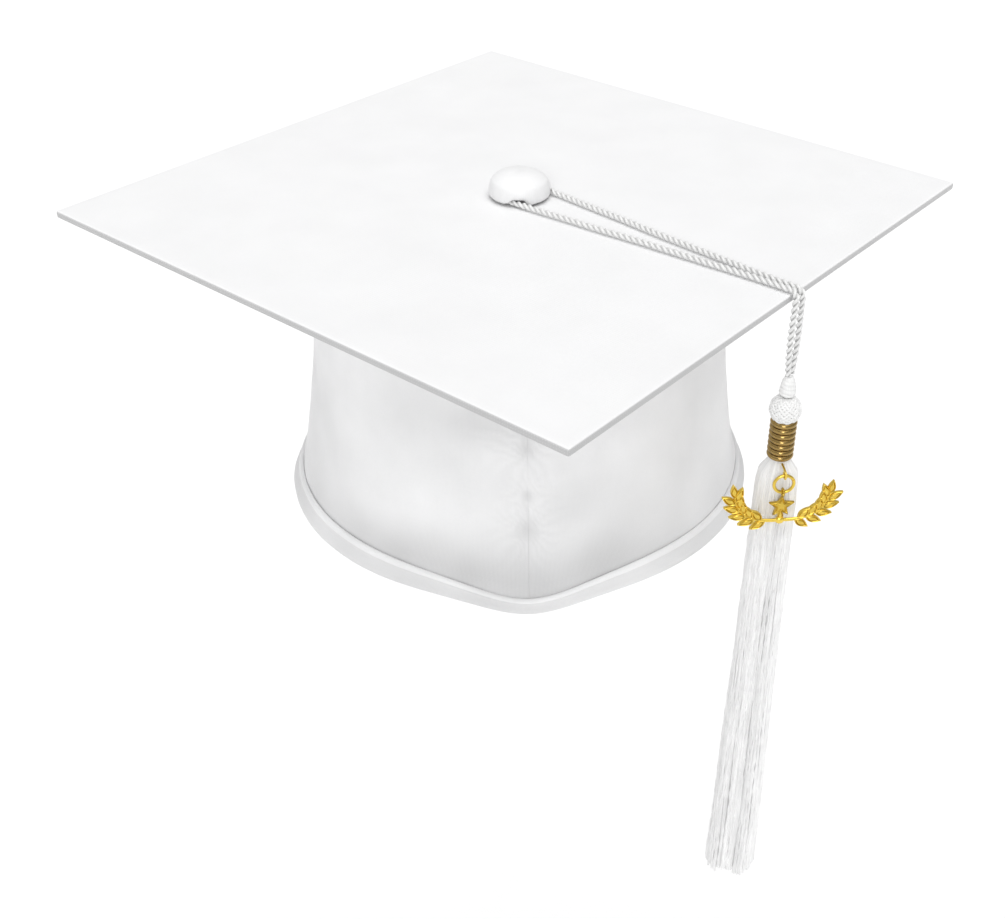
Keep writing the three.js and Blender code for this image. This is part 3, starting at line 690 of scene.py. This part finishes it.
def make_hem_band():
    """The strip folded over the crown's lower edge, with its soft waves."""
    roll, face, rest = hem_section()
    outward = np.concatenate([roll, face, rest])[:, 0] * MM
    angle = np.linspace(-BACK + SEAM_HALF_GAP, BACK - SEAM_HALF_GAP, 420)[:, None] + np.zeros(len(outward))
    top = hem_band_top(angle[:, :1])
    shares = np.concatenate([roll, face])[:, 1]
    height = np.hstack([shares * top, rest[:, 1] * MM + np.zeros_like(top)])
    rings = crown_point(angle, height, outward)
    outside = smooth_share(0.6 * MM, 1.4 * MM, outward + np.zeros_like(angle))
    wave = 0.3 * undulation(rings * np.array([1, 1, 0.3]), 26 * MM, 21)
    wave += 0.12 * undulation(rings, 7 * MM, 23)
    rings = crown_point(angle, height, outward + outside * wave * MM)
    rolled = np.arange(len(outward)) < len(roll)
    # Painted light and shade: the rolled top, which faces the top light, is lighter than the band's darker
    # face; the soft random term is uneven tone
    shade = 0.87 + 0.13 * rolled + 0.07 * undulation(rings, 22 * MM, 25)
    piece = built("hem_band_cloth", [skin(rings, ends="plate")], "crown_cloth", "cap", ["hem_band"], shade)


def quilted(angle, height, points):
    """The interfacing's slight unevenness."""
    return 0.06 * MM * undulation(points, 12 * MM, 31)


def ribbed(angle, height, points):
    """The elastic's upright ribs."""
    return 0.12 * MM * np.abs(np.sin(angle * CROWN_TOP_RADIUS / (0.9 * MM)))


def make_inner_layers():
    """The cloth layers inside the crown, each at its CAD solid's place."""
    half, whole = (0.004, math.pi - 0.004), (-math.pi + SEAM_HALF_GAP, math.pi - SEAM_HALF_GAP)
    layers = [
        ("interfacing_left", -1.2, -2, 9, 116.5, FRONT, half, 120, "lining", quilted),
        ("interfacing_right", -1.2, -2, 9, 116.5, BACK, half, 120, "lining", quilted),
        ("front_seam_tape", -2.3, -2.7, 36, 112.2, FRONT, (-0.06, 0.06), 13, "tape", None),
        ("back_seam_tape", -2.3, -2.7, 36, 112.2, BACK, (-0.06, 0.06), 13, "tape", None),
        ("sweatband", -2.3, -3.4, 1.5, 34, FRONT, whole, 300, "sweatband", None),
        ("back_elastic", -3.7, -4.5, 6, 26, BACK, (-0.55, 0.55), 260, "elastic", ribbed),
        ("size_label", -2.3, -2.6, 38, 58, BACK, (-0.42, -0.14), 20, "tape", None),
    ]
    for name, outer, inner, low, high, seam, about_seam, steps, look, relief in layers:
        heights = np.linspace(low, high, 24) * MM
        angles = [seam + angle for angle in about_seam]
        layer, _ = crown_layer(outer * MM, inner * MM, heights, angles, steps, relief)
        built(f"{name}_cloth", [layer], look, "cap", [name])


def make_tip_lining():
    """The disc of lining under the crown's top, slightly gathered round its edge."""
    radius = LINING[1].x
    low, high = LINING[0].z, LINING[1].z
    inwards = np.linspace(radius, 0.5 * MM, 14)
    profile = [*[(r, low) for r in inwards], *[(r, high) for r in inwards[::-1]]]
    rings = circles(profile, 160, squeeze=FRONT_TO_BACK)
    low_side = rings[:len(inwards)]
    x, y = low_side[..., 0], low_side[..., 1]
    near_edge = np.exp(-(radius - np.hypot(x, y)) / (14 * MM))
    low_side[..., 2] += 0.15 * MM * np.sin(40 * np.arctan2(y, x)) * near_edge
    built("crown_tip_lining_cloth", [skin(rings, joined=True)], "lining", "cap", ["crown_tip_lining"])


# ---- Button ----


def under_rim(points):
    """How far the button's rim may come down, from 0 to 1. It stays up where the cord's strands come
    out."""
    towards = (points[..., 0] - points[..., 1]) / math.sqrt(2)
    along = (points[..., 0] + points[..., 1]) / math.sqrt(2)
    beside = np.abs(np.abs(along) - (LOOP_RADIUS - 0.12 * MM))
    leaving = smooth_share(0.5 * MM, 4 * MM, towards)
    return 1 - leaving * np.exp(-((beside / (2.15 * MM)) ** 6))


def dome_line(radius, low, top, steps):
    """A profile from a dome's rim to just beside its highest point."""
    return [(radius * math.cos(a), low + (top - low) * math.sin(a)) for a in np.linspace(0, 1.569, steps)]


def make_button():
    """The button's cloth, drawn over its dome and tucked in behind. Its rim hangs round the cord's turn."""
    radius = BUTTON[1].x
    low, top = BUTTON[0].z, BUTTON[1].z
    rim = low + 1.1 * MM
    cloth = 0.45 * MM
    rim_drop = 2.1 * MM
    outside = dome_line(radius, rim, top, 27)
    inside = dome_line(radius - cloth, rim, top - cloth, 12)[::-1]
    tuck = [(radius - 1.8 * MM, low + 0.3 * MM), (radius - 1.8 * MM, low), (radius - 1.0 * MM, low)]
    shoulder = [(radius - 0.7 * MM, low + 0.05 * MM), (radius - 0.25 * MM, low + 0.4 * MM)]
    rings = circles([*tuck, *shoulder, *outside, *inside], 144)
    angles = np.arctan2(rings[..., 1], rings[..., 0])
    height = (rings[..., 2] - rim) / (top - rim)
    folds = np.maximum(np.sin(17 * angles + 2 * np.sin(3 * angles)), 0) ** 2
    squeeze = 1 - 0.01 * bell(height - 0.05, 0.22) * folds + 0.006 * undulation(rings, 7 * MM, 41)
    outer_rows = slice(len(tuck), -len(inside))
    rings[outer_rows, :, :2] *= squeeze[outer_rows, :, None]
    reach = np.hypot(rings[..., 0], rings[..., 1])
    hanging = smooth_share(radius - 1.3 * MM, radius - 0.7 * MM, reach) * (1 - smooth_share(0, 0.5, height))
    rings[..., 2] -= rim_drop * hanging * under_rim(rings)
    # Painted shade: the hanging rim and the tuck below it are coloured darker than the dome
    shade = 1 - 0.25 * (1 - smooth_share(-0.45, 0.1, height))
    built("button_cloth", [skin(rings, joined=True)], "crown_cloth", "cap", ["button_cover"], shade)


# ---- Loop cord ----


def loop_cord_route():
    """The route: up from the knot, over the board's edge, along the board, round the button and back."""
    strand = [(CORD_BEND_START, STRAND_OFFSET), *[(a * MM, b * MM) for a, b in STRAND_ROUTE]]
    turn_angles = np.radians([90, 120, 150, 180, 210, 240, 270])
    turn = [(LOOP_RADIUS * math.cos(a), LOOP_RADIUS * math.sin(a)) for a in turn_angles]
    flat = [*strand, *turn, *[(a, -b) for a, b in reversed(strand)]]
    bend_height = CORD_HEIGHT - CORD_BEND_RADIUS
    bend = arc((CORD_BEND_START, bend_height), CORD_BEND_RADIUS, 65, 25, 3)
    levels = np.linspace(bend_height, HANG_BOTTOM, 5)
    sides = [*bend, *[(CORD_BEND_START + CORD_BEND_RADIUS, level) for level in levels]]
    spread = np.array([1.5, 1.7, 1.9, 2.1, 2.45, 2.5, 2.15, 1.1]) * MM
    hanging = [(towards, height, apart) for (towards, height), apart in zip(sides, spread)]
    down, up = ([board_point(a, side * b, height) for a, height, b in hanging] for side in (-1, 1))
    return [*up[::-1], *[board_point(a, b, CORD_HEIGHT) for a, b in flat], *down]


def two_ply(radius):
    """The outline of two twisted plies with a hollow between them."""
    offset, ply = 0.42 * radius, 0.58 * radius

    def outline(distance, angles):
        return offset * np.abs(np.cos(angles)) + np.sqrt(ply**2 - (offset * np.sin(angles)) ** 2)

    return outline


def make_loop_cord():
    """The twisted cord, which bends over the board's edge, with painted shade in the groove between its
    plies.
    """
    path = through(loop_cord_route(), 0.45 * MM)
    twist = 2 * math.pi / (5.2 * MM)
    rings = tube(path, two_ply(CORD_DIAMETER / 2), 20, twist)
    reach = np.linalg.norm(rings - path[:, None, :], axis=2) / (CORD_DIAMETER / 2)
    # Painted shade: darker in the groove between the plies, and darker still on the hanging strands below
    # the board
    deepest_painted_shade = np.where(rings[..., 2] < BOARD_TOP, 0.5, 0.7)
    groove = deepest_painted_shade + (1 - deepest_painted_shade) * smooth_share(0.4, 0.9, reach)
    strands = [f"cord_{part}_{side}" for part in ("bend", "hanging") for side in ("front", "back")]
    piece = built("loop_cord", [skin(rings)], "cord", None, ["cord_loop", *strands], groove)
    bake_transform(piece)


# ---- Tassel ----


def make_knot():
    """Cord wound round the two strands' ends, widest at its foot."""
    low, top = KNOT[0].z, KNOT[1].z
    levels = np.linspace(top - 0.05 * MM, low, 60)
    share = (top - levels) / (top - low)
    radius = np.interp(share, [0, 0.06, 0.28, 0.6, 0.86, 1], np.array([0.5, 1.5, 2.0, 2.45, 2.7, 2.2]) * MM)
    rings = circles(list(zip(radius, levels)), 40, TASSEL_AXIS)
    angles = np.arctan2(rings[..., 1] - TASSEL_AXIS.y, rings[..., 0] - TASSEL_AXIS.x)
    turns = np.abs(np.sin(math.pi * rings[..., 2] / (1.55 * MM) + angles / 2))
    reach = 1 + 0.16 * np.sqrt(turns) * smooth_share(0.05, 0.2, share)[:, None]
    centre = np.array(TASSEL_AXIS)
    rings[..., :2] = centre[:2] + (rings[..., :2] - centre[:2]) * reach[..., None]
    built("tassel_knot_cord", [skin(rings)], "cord", "tassel", ["tassel_knot"])


def make_bead_cover():
    """A ball of braided yarn: threads that wind both ways over a ball and cross each other."""
    low, top = BEAD[0].z, BEAD[1].z
    centre = np.array((TASSEL_AXIS.x, TASSEL_AXIS.y, (low + top) / 2))
    radius = (BEAD[1].x - BEAD[0].x) / 2
    yarn = 0.44 * MM
    hole = 0.36
    open_angle = np.linspace(hole, math.pi - hole, 40)
    count = 18
    skins = []
    for way in (1, -1):
        for thread in range(count):
            turn = 2 * math.pi * thread / count + way * (open_angle - math.pi / 2) * 1.15
            over = np.sin(4.6 * math.pi * (open_angle - hole) / (math.pi - 2 * hole) + thread * math.pi)
            reach = radius - yarn + 0.22 * MM * way * over + 0.1 * MM
            out = reach * np.sin(open_angle)
            path = np.stack([out * np.cos(turn), out * np.sin(turn), reach * np.cos(open_angle)], axis=1)
            skins.append(skin(tube(centre + path, yarn * 1.15, 8)))
    core_radius = radius - 1.1 * yarn
    core = [(core_radius * math.sin(a), core_radius * math.cos(a)) for a in open_angle]
    hollow = [(r * 0.86, z * 0.86) for r, z in reversed(core)]
    skins.append(skin(circles([*core, *hollow], 48, centre), joined=True))
    built("tassel_bead_braid", skins, "cord", "tassel", ["tassel_bead_cover"])


def make_ferrule():
    """A pressed metal sleeve with rounded ribs."""
    low, top = FERRULE[0].z, FERRULE[1].z
    radius = (FERRULE[1].x - FERRULE[0].x) / 2
    ribs, depth = 7, 0.8 * MM
    share = np.linspace(0, 1, ribs * 14 + 1)
    ridge = np.abs(np.sin(math.pi * share * ribs)) ** 0.65
    outside = [(radius - depth + depth * bulge, low + (top - low) * s) for s, bulge in zip(share, ridge)]
    inside = [(radius - depth - 0.2 * MM, low + (top - low) * s) for s in np.linspace(1, 0, 8)]
    rings = circles([*outside, *inside], 96, TASSEL_AXIS)
    built("ferrule_sleeve", [skin(rings, joined=True)], "bronze", "tassel", ["ferrule"])


def skirt_radius(depth):
    """How far the skirt reaches from its axis, by the depth below the ferrule's lower edge."""
    depths = np.array([-16, 0, 1.2, 4, 9, 45, 125, 218, 230]) * MM
    reaches = np.array([3.0, 3.3, 4.2, 6.6, 7.4, 7.8, 9.0, 10.6, 10.5]) * MM
    return np.interp(depth, depths, reaches)


def make_skirt():
    """The tassel's strands: crinkled, gathered into uneven locks, and cut roughly level."""
    count, rows, locks = 440, 50, 40
    neck = FERRULE[0].z
    end = neck - SKIRT[0].z - 3.5 * MM
    strand_radius = 0.45 * MM
    lock_angle = np.sort(random.uniform(0, 2 * math.pi, locks))
    lock_cut = random.uniform(0, 4.5 * MM, locks)
    lock_lean = random.uniform(-0.03, 0.03, locks)
    lock_reach = random.uniform(0.93, 1.0, locks)
    lock_tone = random.uniform(0.89, 1.0, locks)
    bulk_depth = np.linspace(-12 * MM, end - 9 * MM, 40)
    bulk = skin(circles([(0.8 * skirt_radius(d), neck - d) for d in bulk_depth], 24, TASSEL_AXIS))
    skins, shades = [bulk], [np.full(len(bulk[0]), 0.97)]
    for strand in range(count):
        angle = 2 * math.pi * strand / count * 5.0 + random.uniform(-0.12, 0.12)
        depth_share = (0.99, 0.98, 0.93, 0.8, 0.6)[int(5 * strand / count)]
        apart = wrapped(lock_angle - angle)
        lock = int(np.abs(apart).argmin())
        cut = lock_cut[lock] + random.uniform(0, 2.5 * MM) + (1.5 * MM if depth_share < 0.7 else 0)
        depth = np.linspace(-13 * MM, end - cut, rows)
        hang = smooth_share(0, 120 * MM, depth)
        turn = angle + apart[lock] * 0.2 * hang + lock_lean[lock] * hang
        phase = random.uniform(0, 2 * math.pi, 5)
        pace = random.uniform(0.75, 1.3, 3)
        crinkle = 0.16 * MM * np.sin(depth / (1.5 * MM) * pace[0] + phase[0])
        meander = 0.3 * MM * np.sin(depth / (15 * MM) * pace[1] + phase[1])
        sideways = 0.4 * MM * np.sin(depth / (19 * MM) * pace[2] + phase[2])
        loose = smooth_share(2 * MM, 20 * MM, depth)
        layer = depth_share * (1 + (lock_reach[lock] - 1) * hang)
        reach = (skirt_radius(depth) - strand_radius) * layer + (crinkle + meander * 0.6) * loose
        across = sideways * hang + 0.16 * MM * np.sin(depth / (1.7 * MM) + phase[3]) * loose
        x = TASSEL_AXIS.x + 1.06 * (reach * np.cos(turn) - across * np.sin(turn))
        y = TASSEL_AXIS.y + 0.96 * (reach * np.sin(turn) + across * np.cos(turn))
        path = np.stack([x, y, neck - depth], axis=1)
        thin = 0.4 + 0.6 * smooth_share(0, 8 * MM, depth)
        rings = tube(path, 1.0, 4)
        centres = path[:, None, :]
        rings = centres + (rings - centres) * (strand_radius * thin)[:, None, None]
        skins.append(skin(rings))
        uneven = 0.05 * np.sin(depth / (6 * MM) * pace[1] + phase[4])
        tone = random.uniform(0.92, 1.0) * lock_tone[lock] + uneven
        shades += [np.repeat(tone, 4), np.full(2, tone[-1])]
    shade = np.concatenate(shades).astype(np.float32)
    built("tassel_strands", skins, "strands", "tassel", ["tassel_skirt"], shade)


# ---- Ring and charm ----

CHARM_Y = (RING[0].y + RING[1].y) / 2


def flat_point(x, z):
    """A point of the charm's plane, given in millimetres from the charm's top middle."""
    return np.array((TASSEL_AXIS.x + x * MM, CHARM_Y, CHARM[1].z + z * MM))


def wire_circle(centre, radius, degrees, level=(0, 1, 0)):
    """Points of an upright circle. It stands square to the charm, or along another level direction."""
    angles = np.radians(degrees)[:, None]
    return centre + radius * (np.cos(angles) * np.array(level) + np.sin(angles) * np.array((0, 0, 1)))


def make_ring():
    """A ring of bent wire, with its two ends butted together at one side."""
    wire = 0.6 * MM
    radius = (RING[1].x - RING[0].x) / 2 - wire
    centre = np.array((TASSEL_AXIS.x, CHARM_Y, (RING[0].z + RING[1].z) / 2))
    path = wire_circle(centre, radius, np.linspace(33, 389, 90), level=(1, 0, 0))
    built("charm_ring_wire", [skin(tube(path, wire, 16))], "gold", "ring", ["charm_ring"])


def make_link():
    """A wire that comes out under the ferrule and is bent into an eye for the ring."""
    low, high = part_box("charm_link")
    wire = 0.4 * MM
    centre = np.array((TASSEL_AXIS.x, CHARM_Y, low.z + 1.75 * MM))
    loop = wire_circle(centre, 1.35 * MM, np.linspace(75, 75 - 350, 40))
    out = [(TASSEL_AXIS.x, y, high.z - 0.45 * MM) for y in (high.y, (high.y + CHARM_Y) / 2)]
    path = np.vstack([through([*out, loop[0]], 0.3 * MM)[:-1], loop])
    built("charm_link_wire", [skin(tube(path, wire, 12))], "gold", "tassel", ["charm_link"])


def relief_plate(outline, centre, thickness):
    """A flat ornament with a raised rim, a groove inside it and a swelling middle. outline is a closed
    list of points in the charm's plane, and every one can be seen from the centre."""
    middle = [(0.05, 0.92), (0.25, 0.9), (0.48, 0.8), (0.6, 0.62)]
    groove = [(0.66, 0.35), (0.7, 0.25), (0.75, 0.3)]
    rim = [(0.82, 0.9), (0.89, 1), (0.96, 0.88), (1, 0.6)]
    back = [(1, -0.7), (0.95, -0.95), (0.6, -1), (0.2, -1)]
    rings = []
    for scale, height in [*middle, *groove, *rim, *back]:
        ring = centre + (outline - centre) * scale
        ring[:, 1] = CHARM_Y - height * thickness / 2
        rings.append(ring)
    return skin(np.array(rings))


def leaf(base, angle, length, width):
    """A pointed leaf that grows from its base, in millimetres."""
    share = np.concatenate([np.linspace(0, 1, 15), np.linspace(1, 0, 15)[1:-1]])
    side = np.concatenate([np.ones(15), -np.ones(13)])
    across = side * width * 2.0 * share * (1 - share) * (1.25 - 0.5 * share)
    along = share * length
    x = base[0] + along * math.cos(angle) - across * math.sin(angle)
    z = base[1] + along * math.sin(angle) + across * math.cos(angle)
    outline = np.array([flat_point(a, b) for a, b in zip(x, z)])
    centre = flat_point(base[0] + 0.45 * length * math.cos(angle), base[1] + 0.45 * length * math.sin(angle))
    return relief_plate(outline, centre, 1.6 * MM)


def laurel_branch(side, height):
    """Half of a wreath: a curved stem with leaves in pairs."""
    foot = np.array((side * 0.3, 2.6 - height))
    bend = np.array((side * 15.5, 1.4 - height))
    tip = np.array((side * 17.6, -5.4))

    def stem(share):
        return (1 - share) ** 2 * foot + 2 * share * (1 - share) * bend + share**2 * tip

    def heading(share):
        slope = 2 * (1 - share) * (bend - foot) + 2 * share * (tip - bend)
        return math.atan2(slope[1], slope[0])

    def thinning(distance, angles):
        return np.full(len(angles), 0.72 * MM - 9 * distance * MM)

    path = [flat_point(*stem(share)) for share in np.linspace(0, 1, 30)]
    skins = [skin(tube(path, thinning, 8))]
    for share in (0.18, 0.35, 0.52, 0.69, 0.85):
        for turn in (-1, 1):
            at = share + (0.05 if turn * side > 0 else 0)
            skins.append(leaf(stem(at), heading(at) + turn * 0.66, 6.6, 2.9))
    skins.append(leaf(stem(0.97), heading(1.0), 6.0, 2.7))
    return skins


def star_outline(middle, radius):
    """Points round a five-pointed star."""
    corners = []
    for i in range(10):
        reach = radius * (0.45 if i % 2 else 1)
        angle = math.pi / 2 + i * math.pi / 5
        corners.append(flat_point(reach * math.cos(angle), middle + reach * math.sin(angle)))
    corners.append(corners[0])
    return np.vstack([np.linspace(a, b, 5)[:-1] for a, b in zip(corners, corners[1:])])


def make_charm():
    """Two laurel branches with a star between them."""
    height = (CHARM[1].z - CHARM[0].z) / MM - 1.0
    eye_depth, star_radius = 4.6, 4.9
    star_middle = -eye_depth - 1.35 - star_radius + 0.3
    knot_profile = [(0.7, -1.5), (1.5, -0.9), (1.75, 0), (1.5, 0.9), (0.7, 1.5)]
    knot = circles(knot_profile, 24) * MM * np.array([1, 0.7, 1]) + flat_point(0, 2.6 - height)
    eye = wire_circle(flat_point(0, -eye_depth), 1.35 * MM, np.linspace(0, 360, 33)[:-1])
    skins = [
        *laurel_branch(-1, height),
        *laurel_branch(1, height),
        relief_plate(star_outline(star_middle, star_radius), flat_point(0, star_middle), 1.6 * MM),
        leaf((0, 2 - height), math.pi / 2, 6, 2),
        skin(knot),
        skin(closed_tube(eye, 0.4 * MM, 12), joined=True),
    ]
    built("charm_ornament", skins, "gold", "pendant", ["charm"])


def closed_tube(path, radius, sides):
    """Rings about a flat closed path."""
    middle = path.mean(0)
    angles = np.linspace(0, 2 * math.pi, sides, endpoint=False)
    outward = path - middle
    outward /= np.linalg.norm(outward, axis=1)[:, None]
    axis = np.cross(outward[0], outward[1])
    axis /= np.linalg.norm(axis)
    around = np.cos(angles)[None, :, None] * outward[:, None, :] + np.sin(angles)[None, :, None] * axis
    return path[:, None, :] + radius * around


# ---- CAD nodes that stay as they are ----


def finish_cad_nodes():
    """The hard parts inside, which keep their CAD shape and only get their material."""
    looks = {
        "board": ["board_core"],
        "cad_lining": ["crown_tip"],
        "steel": ["button_shell", "button_back", "button_prong", "prong_washer"],
        "wood": ["tassel_bead"],
        "cad_cord": ["bead_cord", "neck_binding"],
    }
    for look, names in looks.items():
        for name in names:
            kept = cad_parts[name]
            kept.data.materials.clear()
            kept.data.materials.append(LOOKS[look])


# ---- Stage, lights and camera ----

WORLD_LIGHT = 0.5


def from_angles(azimuth, elevation):
    """The direction to a place round the cap. Azimuth 0 is in front of it, and 90 on the wearer's left."""
    level = math.cos(elevation)
    return Vector((math.sin(azimuth) * level, -math.cos(azimuth) * level, math.sin(elevation)))


def make_camera():
    """The photograph's view: its angles, its distance from the board's middle, and its framing."""
    azimuth, elevation, roll = (math.radians(angle) for angle in (-6.86, 34.38, 1.03))
    across, above, distance = -18.43 * MM, 95.61 * MM, 517.2 * MM
    back = from_angles(azimuth, elevation)
    level = (-back).cross(Vector((0, 0, 1))).normalized()
    upright = level.cross(-back)
    right = level * math.cos(roll) + upright * math.sin(roll)
    up = upright * math.cos(roll) - level * math.sin(roll)
    place = Vector((0, 0, BOARD_TOP)) - (right * across + up * above - back * distance)
    data = bpy.data.cameras.new("camera")
    data.sensor_width = 36
    data.lens = 48.86
    data.shift_x = -0.0652
    data.shift_y = -0.0114
    data.clip_start = 0.01
    camera = added("camera", data)
    camera.matrix_world = Matrix.Translation(place) @ Matrix((right, up, back)).transposed().to_4x4()
    bpy.context.scene.camera = camera


def soft_sun(name, azimuth, elevation, spread, strength):
    """Even light from one side."""
    back = from_angles(math.radians(azimuth), math.radians(elevation))
    data = bpy.data.lights.new(name, "SUN")
    data.angle = math.radians(spread)
    data.energy = strength
    lamp = added(name, data)
    lamp.location = back
    lamp.rotation_mode = "QUATERNION"
    lamp.rotation_quaternion = (-back).to_track_quat("-Z", "Y")


def make_stage():
    """A wide pale floor well below the cap, which hangs as on a stand, and white light all round."""
    look, _ = new_look("floor_paper", (0.95, 0.95, 0.95), 0.9, specular=0.1)
    size, height = 40.0, -0.5
    mesh = bpy.data.meshes.new("floor")
    corners = [(-size, -size, height), (size, -size, height), (size, size, height), (-size, size, height)]
    mesh.from_pydata(corners, [], [(0, 1, 2, 3)])
    mesh.materials.append(look)
    added("floor", mesh)
    world = bpy.data.worlds.new("studio")
    world.use_nodes = True
    tree = world.node_tree
    seen = tree.nodes.new("ShaderNodeLightPath").outputs["Is Camera Ray"]
    tree.nodes["Background"].inputs["Color"].default_value = (1, 1, 1, 1)
    tree.links.new(between(tree, seen, WORLD_LIGHT, 1.0), tree.nodes["Background"].inputs["Strength"])
    bpy.context.scene.world = world
    bpy.context.scene.view_settings.view_transform = "Standard"
    soft_sun("top_light", 10, 80, 60, 1.75)
    soft_sun("front_light", -12, 25, 20, 0.8)


make_camera()
make_stage()
make_loop_cord()
make_board_top()
make_board_underside()
make_panels()
make_hem_band()
make_inner_layers()
make_tip_lining()
make_button()
make_knot()
make_bead_cover()
make_ferrule()
make_skirt()
make_ring()
make_link()
make_charm()
finish_cad_nodes()
